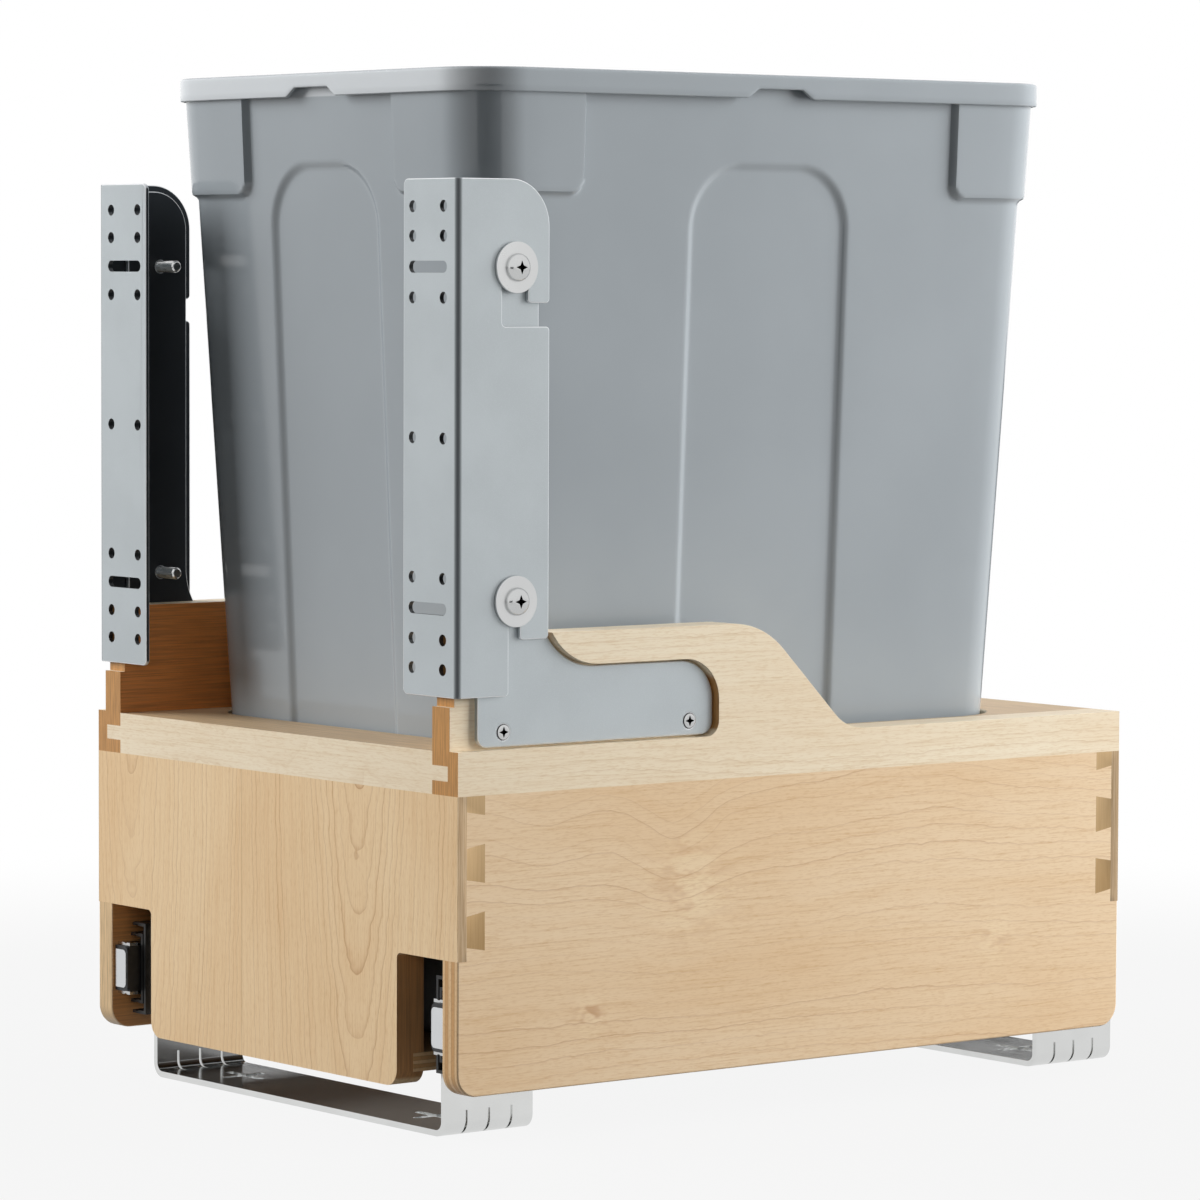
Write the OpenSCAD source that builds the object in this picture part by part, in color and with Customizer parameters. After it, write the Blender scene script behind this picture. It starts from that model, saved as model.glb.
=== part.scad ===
// Pull out trash cabinet: a dovetailed tray on two ball-bearing slides, with a lift-out bin
// X is the width, the front faces -Y, Z is up and zero is the cabinet floor.

/* [Tray box] */
// Outside width of the wooden tray
tray_w = 301.6; // [296:0.1:330]
// Front to back depth of the tray
tray_d = 414.8; // [410:0.1:440]
// Height of the panels' lower edges above the cabinet floor
box_z = 23; // [20:0.1:26]
// Height of the box panels
box_h = 138.9; // [130:0.1:160]
// Thickness of the side panels
side_t = 12; // [11:0.1:12.5]
// Thickness of the front and back panels
end_t = 15.5; // [13:0.1:17]
// Lap of the end panels that covers the dovetails
lap_t = 5.1; // [4:0.1:6.5]
// Width of the two slide gaps in the front and back panels
gap_w = 35.3; // [33:0.1:40]
// Height of the slide gaps above the panels' lower edges
gap_h = 62.9; // [58:0.1:66]
// Thickness of the plywood bottom board
bottom_t = 9; // [6:0.1:9.5]
// Height of the bottom board above the panels' lower edges
bottom_rise = 6; // [5:0.1:8]

/* [Dovetails] */
// Spacing of the dovetail pins
pin_pitch = 31.2; // [26:0.1:36]
// Half height of a pin at its narrow end
pin_narrow = 7.2; // [5:0.1:8]
// Half height of a pin at its wide end
pin_wide = 9; // [8.2:0.1:10.5]

/* [Platform and rails] */
// Thickness of the platform
platform_t = 20; // [18:0.1:22]
// Thickness of the side rails
rail_t = 19.9; // [19:0.1:21]
// Height of the rail's front hump above the platform
hump_h = 53.4; // [48:0.1:60]
// Where the hump's top would meet its slope, from the front
hump_y = 180.6; // [172:0.1:196]
// Radius over the hump's rear shoulder
hump_r = 45; // [30:0.5:55]
// Radius at the foot of the slope
foot_r = 25; // [12:0.5:34]
// Height of the tongue that enters the rail
tongue_h = 7; // [5:0.1:9]
// Depth of the tongue
tongue_d = 12; // [9:0.1:12.5]
// Clearance of the bin opening around the bin, front and back
opening_gap = 1.6; // [1:0.1:4]
// Clearance of the bin opening at the bin's sides
opening_side_gap = 14.2; // [10:0.1:15]
// Corner radius of the bin opening
opening_r = 44; // [36:0.5:46]

/* [Bin] */
// Set-in of the rim from the tray's sides
rim_side_inset = 18.3; // [15:0.1:20]
// Set-in of the rim from the tray's front
rim_front_inset = 23; // [20:0.1:26]
// Set-in of the rim from the tray's rear
rim_rear_inset = 26.2; // [22:0.1:30]
// Corner radius of the rim
rim_r = 30; // [26:0.5:34]
// Height of the rim's top above the bin's base
bin_h = 457.9; // [430:0.1:480]
// Height of the rim's skirt
skirt_h = 11.4; // [9:0.1:14]
// Thickness of the skirt
skirt_t = 2.1; // [1.6:0.1:2.6]
// Overhang of the rim past the body
rim_over = 5.2; // [4.4:0.1:6]
// Draft of the body, as width lost on each side per unit of height
draft_share = 0.0464; // [0.04:0.0002:0.05]
// Corner radius of the body
body_r = 25; // [21:0.5:27]
// Wall thickness
bin_wall = 2.6; // [2:0.1:3.2]
// Radius of the bottom edge
base_r = 8; // [5:0.1:10]
// Depth of the arched panels
arch_depth = 2; // [1:0.1:2.6]
// Distance from the arched panels on front and back to the corner pads
arch_gap = 18.2; // [12:0.1:26]
// Half width of the arched panels on the sides
arch_half_d = 48; // [30:0.1:60]
// Distance from the rim's top to the top of the arches
arch_drop = 44; // [36:0.1:60]
// Height of the corner pads' lower edges below the rim's top
pad_drop = 58; // [50:0.1:70]
// How far the corner pads stand proud of the body
pad_proud = 3.1; // [2:0.1:3.4]

/* [Arm plates and brackets] */
// Thickness of the arm plates
arm_t = 2.9; // [2.5:0.1:3.2]
// Depth of the recess for plate and bracket in the rail
recess_d = 6.5; // [6:0.1:6.8]
// Clearance of the recess around the plate
recess_gap = 1; // [0.6:0.1:1.2]
// Set-back of the plate's front edge
arm_y = 13.9; // [10:0.1:16]
// Width of the upright
arm_w = 34.6; // [30:0.1:38]
// Length of the foot, front to back
foot_l = 139; // [120:0.5:142]
// Height of the foot
foot_h = 35.4; // [30:0.1:38]
// Height of the upright's top above the plate's lower edge
arm_h = 257.7; // [250:0.1:270]
// Thickness of the door brackets
bracket_t = 2.3; // [2:0.1:2.6]
// Height of the door brackets
bracket_h = 237.5; // [230:0.1:240]
// Width of the flange that meets the door
flange_w = 41.9; // [39:0.1:44]
// Depth of the flange that lies on the arm plate
wing_d = 52.8; // [50:0.1:53.4]
// Door screw holes
door_hole_d = 5.5; // [4:0.1:6]
// Spacing of the two columns of door holes
door_hole_pitch = 23.7; // [20:0.1:26]
// Height adjustment each way
adjust = 4; // [2:0.1:4.4]

/* [Slides] */
// Room that each slide takes between strap leg and side panel
slide_w = 16.6; // [16:0.1:18]
// Sheet thickness of the straps
strap_t = 3; // [2.5:0.1:3.5]
// Width of each strap, front to back
strap_l = 51.4; // [48:0.1:54]
// Height of the strap legs
leg_h = 74; // [68:0.1:80]
// Set-back of the front strap behind the front panel's face
strap_y = 14; // [10:0.1:18]
// How far the straps end behind the tray
base_over = 23; // [21.5:0.1:30]
// Sheet thickness of the slide members
member_t = 1.6; // [1.4:0.1:1.7]
// Height of the outer member
outer_h = 45.6; // [44:0.1:47]
// Height of the middle member
middle_h = 35; // [34:0.1:36]
// Height of the drawer member
inner_h = 26; // [25:0.1:27]
// Height of the slides' centre line above the cabinet floor
slide_z = 53.8; // [52:0.1:56]
// Depth of the tray that stays behind at full travel
travel_rest = 14.8; // [14.8:0.1:50]

/* [Hidden] */

// Finishes
maple = [0.87, 0.77, 0.62];
zinc = [0.80, 0.81, 0.83];
silver_paint = [0.70, 0.73, 0.75];
bin_grey = [0.59, 0.62, 0.64];
dark_rubber = [0.12, 0.12, 0.13];
black_coat = [0.09, 0.09, 0.10];
white_plate = [0.90, 0.90, 0.90];

// Every cut runs past the face that it opens by this much
over = 1;
left = -1;
right = 1;
round_fn = 96;
small_fn = 32;

// Places across the width
half_w = tray_w / 2;
side_in = half_w - side_t;
rail_in = half_w - rail_t;
apron_half = side_in - gap_w;

// The model's middle lies halfway between the front face and the straps' rear end
base_d = tray_d + base_over;
travel = tray_d - travel_rest;
front_y = -base_d / 2;

// Heights
box_top = box_z + box_h;
wing_z = box_z + gap_h;
platform_top = box_top + platform_t;
hump_top = platform_top + hump_h;
bottom_z = box_z + bottom_rise;
groove_d = 6;
apron_r = 8;
panel_r = 11;
gap_r = 2.5;

// Bin, seated on the bottom board
bin_seat = 0.3;
bin_z = bottom_z + bottom_t + bin_seat;
bin_top = bin_z + bin_h;
rim_half_w = half_w - rim_side_inset;
rim_half_d = (tray_d - rim_front_inset - rim_rear_inset) / 2;
bin_y = rim_front_inset + rim_half_d;
body_half_w = rim_half_w - rim_over;
body_half_d = rim_half_d - rim_over;
corner_steps = 8;
bin_floor = 3;
rim_t = 2.6;
rim_edge = 1.6;
pad_w = 66.3;
pad_d = 62.1;
pad_x = body_half_w - pad_w;
pad_y = body_half_d - pad_d;
pad_r = 7;
arch_half_w = pad_x - arch_gap;
arch_top_half = 12.8;
arch_r = arch_half_w - arch_top_half;
arch_foot = 32;
notch_half = 20;
notch_slope = 6.5;
notch_h = 4.4;

// Opening for the bin, from the body's size where it passes the platform's top
pass_drop = (bin_top - platform_top) * draft_share;
opening_half_w = body_half_w - pass_drop + opening_side_gap;
opening_half_d = body_half_d - pass_drop + opening_gap;

// Arm plate, let into the rail
arm_seat = 0.4;
arm_x = half_w - recess_d;
arm_z = platform_top + recess_gap + arm_seat;
arm_front_r = 5;
arm_heel_r = 6.5;
arm_toe_r = 19;
arm_knee_r = 33;
arm_crown_r = 19;
arm_tip_r = 4;
arm_screw_rise = 6.8;
arm_screw_front = 14.8;
arm_screw_rear = 14;
arm_screw_head_r = 4;
arm_screw_r = 2;
arm_screw_l = 14;
screw_proud = 0.3;

// Door bracket, clamped on the arm plate
slide_gap = 0.2;
wing_x = arm_x + arm_t + slide_gap;
wing_out = wing_x + bracket_t;
bracket_rise = 24.8;
bracket_z = platform_top + bracket_rise;
bracket_mid = bracket_z + bracket_h / 2;
bend_r = 2.7;
flange_r = 3;
crown_r = 22;
sheet_r = 2;
flange_gap = 0.3;
column_inset = 11;
column_x = wing_out - column_inset;
door_hole_rises = [106, 92.4, 64.2];
door_slot_rise = 78.3;
stud_y = 33;
stud_r = 3;
stud_spacing = 153.2;
stud_rise = 43.7;
stud_low_z = bracket_z + stud_rise;
stud_high_z = stud_low_z + stud_spacing;
stud_end = 15;
slot_side_gap = 0.3;
hook_half = 7.5;
hook_rise = 169.8;
hook_z = bracket_z + hook_rise;
hook_mouth = 10.8;
tab_rise = 25.8;
tab_z = bracket_z + tab_rise;
slot_end_gap = 0.8;
washer_r = 11.9;
washer_t = 1.5;
pan_r = 6.5;
pan_h = 3.4;
pan_edge = 2.6;
pan_foot = 0.3;

// Slides, outermost member first, measured outwards from the strap leg
strap_half = side_in - slide_w;
web_gap = 1;
tip_gap = 1.5;
reach_gap = 1.7;
cabinet_tip_gap = 5;
cabinet_tip = side_in - cabinet_tip_gap;
middle_x = strap_half + member_t + web_gap;
middle_in = middle_x + member_t;
drawer_in = side_in - member_t;
middle_tip = drawer_in - reach_gap;
drawer_tip = middle_in + tip_gap;
cabinet_y = 9;
cabinet_end_gap = 8.8;
cabinet_l = base_d - cabinet_y - cabinet_end_gap;
slide_l = travel;
drawer_y = 3.4;
drawer_over = 2;
drawer_l = slide_l - drawer_y + drawer_over;
groove_bite = 0.45;
ball_gap = 0.05;
outer_gap = (outer_h - middle_h) / 2 - member_t;
inner_gap = (middle_h - inner_h) / 2 - member_t;
outer_ball_r = outer_gap / 2 + groove_bite;
inner_ball_r = inner_gap / 2 + groove_bite;
outer_track = [(middle_in + cabinet_tip) / 2, middle_h / 2 + outer_gap / 2];
inner_track = [(drawer_tip + middle_tip) / 2, inner_h / 2 + inner_gap / 2];
cage_t = 0.4;
cage_share = 0.45;
cage_l = slide_l * cage_share;
cage_y = cabinet_y + (slide_l - cage_l) / 2;
balls_in_row = 8;
cage_margin = 1.5;

// End caps of the drawer members
cap_t = 1.4;
cap_plug_l = 13;
cap_fit = 0.1;
cap_half_h = inner_h / 2 - member_t - cap_fit;
cap_r = 3;
cap_plate_t = 0.6;
cap_plate_margin = 1.8;
cap_plate_inset = 0.8;
cap_plate_edge = 0.6;
cap_plate_r = 2.4;

// Fasteners of the slides
rivet_r = 2.4;
rivet_head_r = 4.5;
rivet_head_h = 1.8;
rivet_flush_r = 3.8;
rivet_pitch = 22;
drawer_screw_r = 1.75;
drawer_screw_l = 10;
drawer_screw_head_r = 3.6;
drawer_screw_head_h = 1.7;
drawer_screw_inset = 40;
drawer_screw_places = [drawer_screw_inset, slide_l / 2, slide_l - drawer_screw_inset];
bumper_l = 10;
bumper_half_h = 9.8;
bumper_w = 9.5;
bumper_stud_r = 3;
bumper_gap = 0.3;
bumper_y = cabinet_y + slide_l + bumper_gap;

cross_width_share = 0.3;
cross_depth_share = 0.35;

// Straps
strap_bend_r = 7;
foot_slot_inset = 42.2;
foot_slot_x = strap_half - foot_slot_inset;
foot_slot_w = 5;
foot_slot_l = 30;
foot_cross_l = 25;
slit_w = 1.2;
slit_pitch = 13.1;
slit_rise = 12;
slit_run = 10;

// Moves a piece from the tray's front face to the model's own origin
module placed() {
  translate([0, front_y, 0]) children();
}

// The left-hand pieces mirror the right-hand ones
module sided(side) {
  mirror([side < 0 ? 1 : 0, 0, 0]) children();
}

// Turns a drawing in Y and Z into a plate that starts at x and is t thick
module along_x(x, t) {
  translate([x, 0, 0]) rotate([90, 0, 90]) linear_extrude(t) children();
}

// Turns a drawing in X and Z into a plate that starts at y and is t thick
module along_y(y, t) {
  translate([0, y + t, 0]) rotate([90, 0, 0]) linear_extrude(t) children();
}

// A round bar along X
module bar_x(x, y, z, r, l, fn = round_fn) {
  translate([x, y, z]) rotate([0, 90, 0]) cylinder(r = r, h = l, $fn = fn);
}

function unit(v) = v / norm(v);
function turn_at(a, q, b) = (q.x - a.x) * (b.y - q.y) - (q.y - a.y) * (b.x - q.x);
function half_angle(a, q, b) = acos(unit(a - q) * unit(b - q)) / 2;
function reach_at(a, q, b, r) = r / tan(half_angle(a, q, b));
function centre_at(a, q, b, r) = q + unit(unit(a - q) + unit(b - q)) * r / sin(half_angle(a, q, b));

// A drawing with straight sides and true arcs at its corners, points listed anticlockwise
module outline(points, radii) {
  n = len(points);
  function before(i) = points[(i + n - 1) % n];
  function after(i) = points[(i + 1) % n];
  function toward(i, b) = points[i] + unit(b - points[i])
    * reach_at(before(i), points[i], after(i), radii[i]);
  module segment(i) {
    intersection() {
      translate(centre_at(before(i), points[i], after(i), radii[i]))
        circle(r = radii[i], $fn = round_fn);
      polygon([toward(i, before(i)), points[i], toward(i, after(i))]);
    }
  }
  difference() {
    union() {
      polygon([for (i = [0:n - 1]) each radii[i] == 0 ? [points[i]]
        : [toward(i, before(i)), toward(i, after(i))]]);
      for (i = [0:n - 1])
        if (radii[i] > 0 && turn_at(before(i), points[i], after(i)) > 0) segment(i);
    }
    for (i = [0:n - 1])
      if (radii[i] > 0 && turn_at(before(i), points[i], after(i)) < 0) segment(i);
  }
}

// A slot with round ends, centred, running along its first axis
module slot(l, w) {
  square([l - w, w], center = true);
  for (x = [-1, 1]) translate([x * (l - w) / 2, 0]) circle(d = w, $fn = round_fn);
}

// Cross recess of a screw, centred on the origin and sunk downwards
module cross_recess(size) {
  w = size * cross_width_share;
  for (a = [0, 90])
    rotate([0, 0, a])
      translate([-size / 2, -w / 2, -size * cross_depth_share]) cube([size, w, size]);
}

// Base straps

// One U-shaped strap from y, with slotted feet and slits across its bends
module strap(y) {
  inner_r = strap_bend_r - strap_t;
  difference() {
    along_y(y, strap_l) outline(
      [[-strap_half, 0], [strap_half, 0], [strap_half, leg_h], [strap_half - strap_t, leg_h],
       [strap_half - strap_t, strap_t], [strap_t - strap_half, strap_t],
       [strap_t - strap_half, leg_h], [-strap_half, leg_h]],
      [strap_bend_r, strap_bend_r, 0, 0, inner_r, inner_r, 0, 0]);
    for (side = [left, right]) {
      translate([side * foot_slot_x, y + strap_l / 2, -over])
        linear_extrude(strap_t + 2 * over) {
          slot(foot_slot_l, foot_slot_w);
          rotate(90) slot(foot_cross_l, foot_slot_w);
        }
      for (k = [-1, 0, 1])
        translate([side < 0 ? -strap_half - over : strap_half - slit_run,
                   y + strap_l / 2 + k * slit_pitch - slit_w / 2, -over])
          cube([slit_run + over, slit_w, slit_rise + over]);
    }
    rivet_holes(y);
  }
}

// Rivet holes through both legs of the strap that starts at y
module rivet_holes(y) {
  for (side = [left, right], k = [-1, 1])
    sided(side) bar_x(strap_half - strap_t - over, y + strap_l / 2 + k * rivet_pitch / 2,
      slide_z, rivet_r, strap_t + 2 * over, small_fn);
}

rear_strap_y = base_d - strap_l;
strap_places = [strap_y, rear_strap_y];

module front_strap() { color(zinc) placed() strap(strap_y); }
module rear_strap() { color(zinc) placed() strap(rear_strap_y); }

// Ball-bearing slides

// Section of a slide member: a web from x0 to x1 and two flanges that reach to x2
module channel(x0, x1, x2, h) {
  translate([x0, -h / 2]) square([x1 - x0, h]);
  for (k = [-1, 1])
    translate([min(x0, x1, x2), k * (h / 2 - member_t / 2) - member_t / 2])
      square([max(x0, x1, x2) - min(x0, x1, x2), member_t]);
}

// Grooves that the balls run in, at a track given as its distance out and up from the centre
module ball_grooves(track, r) {
  for (k = [-1, 1]) translate([track.x, k * track.y]) circle(r = r + ball_gap, $fn = round_fn);
}

module slide_cabinet(side) {
  color(black_coat) placed() sided(side) difference() {
    translate([0, 0, slide_z]) along_y(cabinet_y, cabinet_l) difference() {
      channel(strap_half, strap_half + member_t, cabinet_tip, outer_h);
      ball_grooves(outer_track, outer_ball_r);
    }
    for (y = strap_places, k = [-1, 1])
      flush_rivet_body(y + strap_l / 2 + k * rivet_pitch / 2, over);
    bar_x(strap_half - over, bumper_y + bumper_l / 2, slide_z, bumper_stud_r,
      member_t + 2 * over, small_fn);
  }
}

module slide_middle(side) {
  color(black_coat) placed() sided(side) translate([0, 0, slide_z])
    along_y(cabinet_y, slide_l) difference() {
      channel(middle_x, middle_in, middle_tip, middle_h);
      ball_grooves(outer_track, outer_ball_r);
      ball_grooves(inner_track, inner_ball_r);
    }
}

module slide_drawer(side) {
  color(zinc) placed() sided(side) difference() {
    translate([0, 0, slide_z]) along_y(drawer_y, drawer_l) difference() {
      channel(drawer_in, side_in, drawer_tip, inner_h);
      ball_grooves(inner_track, inner_ball_r);
    }
    for (y = drawer_screw_places)
      bar_x(drawer_in - over, y, slide_z, drawer_screw_r, member_t + 2 * over, small_fn);
  }
}

// Folded strip with its web from x and a flange on each track, drilled for the balls
module cage(x, track, r) {
  pitch = cage_l / balls_in_row;
  difference() {
    translate([0, 0, slide_z]) along_y(cage_y, cage_l) {
      translate([x, -track.y - cage_t / 2]) square([cage_t, 2 * track.y + cage_t]);
      for (k = [-1, 1])
        translate([x, k * track.y - cage_t / 2])
          square([track.x + r + cage_margin - x, cage_t]);
    }
    for (i = [0:balls_in_row - 1])
      translate([track.x, cage_y + pitch / 2 + i * pitch, slide_z - track.y - cage_t])
        cylinder(r = r + ball_gap, h = 2 * track.y + 2 * cage_t, $fn = small_fn);
  }
}

// Both rows of balls in one cage
module balls(track, r) {
  pitch = cage_l / balls_in_row;
  for (i = [0:balls_in_row - 1], k = [-1, 1])
    translate([track.x, cage_y + pitch / 2 + i * pitch, slide_z + k * track.y])
      sphere(r = r, $fn = small_fn);
}

module cage_outer(side) {
  color(zinc) placed() sided(side)
    cage(strap_half + member_t + (web_gap - cage_t) / 2, outer_track, outer_ball_r);
}

module cage_inner(side) {
  color(zinc) placed() sided(side)
    cage(middle_in + (tip_gap - cage_t) / 2, inner_track, inner_ball_r);
}

module balls_outer(side) { color(zinc) placed() sided(side) balls(outer_track, outer_ball_r); }
module balls_inner(side) { color(zinc) placed() sided(side) balls(inner_track, inner_ball_r); }

// Shank and flush head of a rivet at y, from the strap leg's inner face past the web's by extra
module flush_rivet_body(y, extra = 0) {
  bar_x(strap_half - strap_t, y, slide_z, rivet_r, strap_t + member_t + extra, small_fn);
  translate([strap_half + member_t + extra, y, slide_z]) rotate([0, -90, 0])
    cylinder(r1 = rivet_flush_r + extra, r2 = rivet_r, h = rivet_flush_r - rivet_r + extra,
      $fn = small_fn);
}

module slide_rivets(side) {
  color(zinc) placed() sided(side) for (y = strap_places, k = [-1, 1]) {
    rivet_y = y + strap_l / 2 + k * rivet_pitch / 2;
    flush_rivet_body(rivet_y);
    translate([strap_half - strap_t, rivet_y, slide_z]) rotate([0, -90, 0])
      pan_head(rivet_head_r, rivet_head_h, rivet_head_h - pan_foot);
  }
}

// Domed head that stands on the origin
module pan_head(r, h, edge) {
  rotate_extrude($fn = round_fn) outline([[0, 0], [r, 0], [r, h], [0, h]], [0, 0, edge, 0]);
}

module stop_bumper(side) {
  color(dark_rubber) placed() sided(side) {
    along_x(strap_half + member_t, bumper_w) outline(
      [[bumper_y, slide_z - bumper_half_h], [bumper_y + bumper_l, slide_z - bumper_half_h],
       [bumper_y + bumper_l, slide_z + bumper_half_h], [bumper_y, slide_z + bumper_half_h]],
      [sheet_r, sheet_r, sheet_r, sheet_r]);
    bar_x(strap_half, bumper_y + bumper_l / 2, slide_z, bumper_stud_r, member_t, small_fn);
  }
}

module drawer_screws(side) {
  color(zinc) placed() sided(side) for (y = drawer_screw_places) difference() {
    union() {
      bar_x(drawer_in, y, slide_z, drawer_screw_r, drawer_screw_l, small_fn);
      translate([drawer_in, y, slide_z]) rotate([0, -90, 0])
        pan_head(drawer_screw_head_r, drawer_screw_head_h, drawer_screw_head_h - pan_foot);
    }
    translate([drawer_in - drawer_screw_head_h, y, slide_z]) rotate([0, -90, 0])
      cross_recess(drawer_screw_head_r);
  }
}

// Plug in the front end of the drawer member, with a collar before the web's end
module slide_cap(side) {
  color(dark_rubber) placed() sided(side) {
    translate([0, 0, slide_z]) along_y(drawer_y - cap_t, cap_t) outline(
      [[drawer_tip, -cap_half_h], [side_in, -cap_half_h], [side_in, cap_half_h],
       [drawer_tip, cap_half_h]], [cap_r, 0, 0, cap_r]);
    translate([0, 0, slide_z]) along_y(drawer_y, cap_plug_l) difference() {
      translate([drawer_tip, -cap_half_h])
        square([drawer_in - cap_fit - drawer_tip, 2 * cap_half_h]);
      ball_grooves(inner_track, inner_ball_r);
    }
  }
}

module slide_cap_plate(side) {
  x0 = drawer_tip + cap_plate_inset;
  x1 = side_in - cap_plate_edge;
  z0 = slide_z - cap_half_h + cap_plate_margin;
  z1 = slide_z + cap_half_h - cap_plate_margin;
  color(white_plate) placed() sided(side) along_y(drawer_y - cap_t - cap_plate_t, cap_plate_t)
    outline([[x0, z0], [x1, z0], [x1, z1], [x0, z1]], [cap_plate_r, 0, 0, cap_plate_r]);
}

// Dovetailed box

// Heights of the pins' centres below the panels' upper edge, the topmost being half a pin
gap_top_drop = box_h - gap_h;
pin_drops = [for (k = [0:floor((gap_top_drop - pin_narrow) / pin_pitch)]) k * pin_pitch];

// Half height of a pin at the distance y from the end's face
function pin_half(y) = pin_narrow + (y - lap_t) * (pin_wide - pin_narrow) / (end_t - lap_t);

// Drawing of all pins at one end, as seen from the side, that runs past their faces by extra
module pins(extra = 0) {
  y0 = lap_t - extra;
  intersection() {
    for (drop = pin_drops)
      polygon([[y0, box_top - drop - pin_half(y0)], [end_t, box_top - drop - pin_wide],
               [end_t, box_top - drop + pin_wide], [y0, box_top - drop + pin_half(y0)]]);
    translate([0, box_z]) square([end_t, box_h + extra]);
  }
}

module side_panel(side) {
  color(maple) placed() sided(side) difference() {
    along_x(side_in, side_t) outline(
      [[0, box_z], [tray_d, box_z], [tray_d, wing_z], [tray_d - lap_t, wing_z],
       [tray_d - lap_t, box_top], [lap_t, box_top], [lap_t, wing_z], [0, wing_z]],
      [panel_r, panel_r, 0, 0, 0, 0, 0, 0]);
    along_x(side_in - over, side_t + 2 * over) pins(over);
    translate([0, tray_d, 0]) mirror([0, 1, 0])
      along_x(side_in - over, side_t + 2 * over) pins(over);
    for (y = drawer_screw_places)
      bar_x(side_in - over, y, slide_z, drawer_screw_r,
        drawer_screw_l - member_t + over, small_fn);
  }
}

// End panel with its face at y zero: laps outside, pins through the sides, apron between the gaps
module end_panel() {
  module face(half) {
    outline(
      [[-apron_half, box_z], [apron_half, box_z], [apron_half, wing_z], [half, wing_z],
       [half, box_top], [-half, box_top], [-half, wing_z], [-apron_half, wing_z]],
      [apron_r, apron_r, gap_r, 0, 0, 0, 0, gap_r]);
  }
  difference() {
    union() {
      along_y(0, lap_t) face(half_w);
      along_y(lap_t, end_t - lap_t) face(side_in);
      for (side = [left, right]) sided(side) along_x(side_in, side_t) pins();
    }
    translate([-apron_half - over, end_t - groove_d, bottom_z])
      cube([2 * apron_half + 2 * over, groove_d + over, bottom_t]);
  }
}

module front_panel() { color(maple) placed() end_panel(); }

module back_panel() {
  color(maple) placed() translate([0, tray_d, 0]) mirror([0, 1, 0]) end_panel();
}

module bottom_board() {
  color(maple) placed() translate([-apron_half, end_t - groove_d, bottom_z])
    cube([2 * apron_half, tray_d - 2 * (end_t - groove_d), bottom_t]);
}

// Platform and rails

module platform() {
  tongue_z = box_top + (platform_t - tongue_h) / 2;
  color(maple) placed() difference() {
    union() {
      translate([-rail_in, 0, box_top]) cube([2 * rail_in, tray_d, platform_t]);
      translate([-rail_in - tongue_d, 0, tongue_z])
        cube([2 * rail_in + 2 * tongue_d, tray_d, tongue_h]);
    }
    translate([0, bin_y, box_top - over]) linear_extrude(platform_t + 2 * over)
      outline([[-opening_half_w, -opening_half_d], [opening_half_w, -opening_half_d],
               [opening_half_w, opening_half_d], [-opening_half_w, opening_half_d]],
              [opening_r, opening_r, opening_r, opening_r]);
  }
}

// Arm plate's drawing in Y and Z, grown by gap on all sides and open to the front if asked
module arm_outline(gap, open_front = false) {
  y0 = open_front ? -over : arm_y - gap;
  front_r = open_front ? 0 : arm_front_r + gap;
  y1 = arm_y + arm_w + gap;
  y2 = arm_y + foot_l + gap;
  z0 = arm_z - gap;
  z1 = arm_z + foot_h + gap;
  z2 = arm_z + arm_h + gap;
  outline([[y0, z0], [y2, z0], [y2, z1], [y1, z1], [y1, z2], [y0, z2]],
          [front_r, arm_heel_r + gap, arm_toe_r + gap, arm_knee_r - gap, arm_crown_r + gap,
           open_front ? 0 : arm_tip_r + gap]);
}

arm_screw_places = [arm_y + arm_screw_front, arm_y + foot_l - arm_screw_rear];

module side_rail(side) {
  tongue_z = box_top + (platform_t - tongue_h) / 2;
  cut_z = bracket_z - adjust - flange_gap;
  color(maple) placed() sided(side) difference() {
    along_x(rail_in, rail_t) outline(
      [[0, box_top], [tray_d, box_top], [tray_d, platform_top],
       [hump_y + hump_h, platform_top], [hump_y, hump_top], [0, hump_top]],
      [0, 0, 0, foot_r, hump_r, 0]);
    translate([rail_in - over, -over, tongue_z])
      cube([tongue_d + over, tray_d + 2 * over, tongue_h]);
    along_x(arm_x, recess_d + over) arm_outline(recess_gap, true);
    translate([rail_in - over, -over, cut_z])
      cube([rail_t + 2 * over, bracket_t + flange_gap + over, hump_top - cut_z + over]);
    for (y = arm_screw_places)
      bar_x(arm_x - arm_screw_l + arm_t, y, arm_z + arm_screw_rise, arm_screw_r,
        arm_screw_l, small_fn);
  }
}

// Arm plates

// Countersunk head and shank of an arm screw at y, that runs past the plate's face by extra
module arm_screw_body(y, extra = 0) {
  z = arm_z + arm_screw_rise;
  bar_x(arm_x + arm_t - arm_screw_l, y, z, arm_screw_r, arm_screw_l + extra, small_fn);
  translate([arm_x + arm_t + extra, y, z]) rotate([0, -90, 0])
    cylinder(r1 = arm_screw_head_r + extra, r2 = arm_screw_r,
      h = arm_screw_head_r - arm_screw_r + extra, $fn = small_fn);
}

module arm_plate(side) {
  color(silver_paint) placed() sided(side) difference() {
    along_x(arm_x, arm_t) arm_outline(0);
    for (y = arm_screw_places) arm_screw_body(y, over);
    for (z = [stud_low_z, stud_high_z])
      bar_x(arm_x - over, stud_y, z, stud_r, arm_t + 2 * over, small_fn);
  }
}

module arm_screws(side) {
  z = arm_z + arm_screw_rise;
  color(zinc) placed() sided(side) for (y = arm_screw_places) difference() {
    union() {
      arm_screw_body(y);
      bar_x(arm_x + arm_t, y, z, arm_screw_head_r, screw_proud, small_fn);
    }
    translate([arm_x + arm_t + screw_proud, y, z]) rotate([0, 90, 0])
      cross_recess(arm_screw_head_r);
  }
}

// Clamp screws and washers

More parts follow.
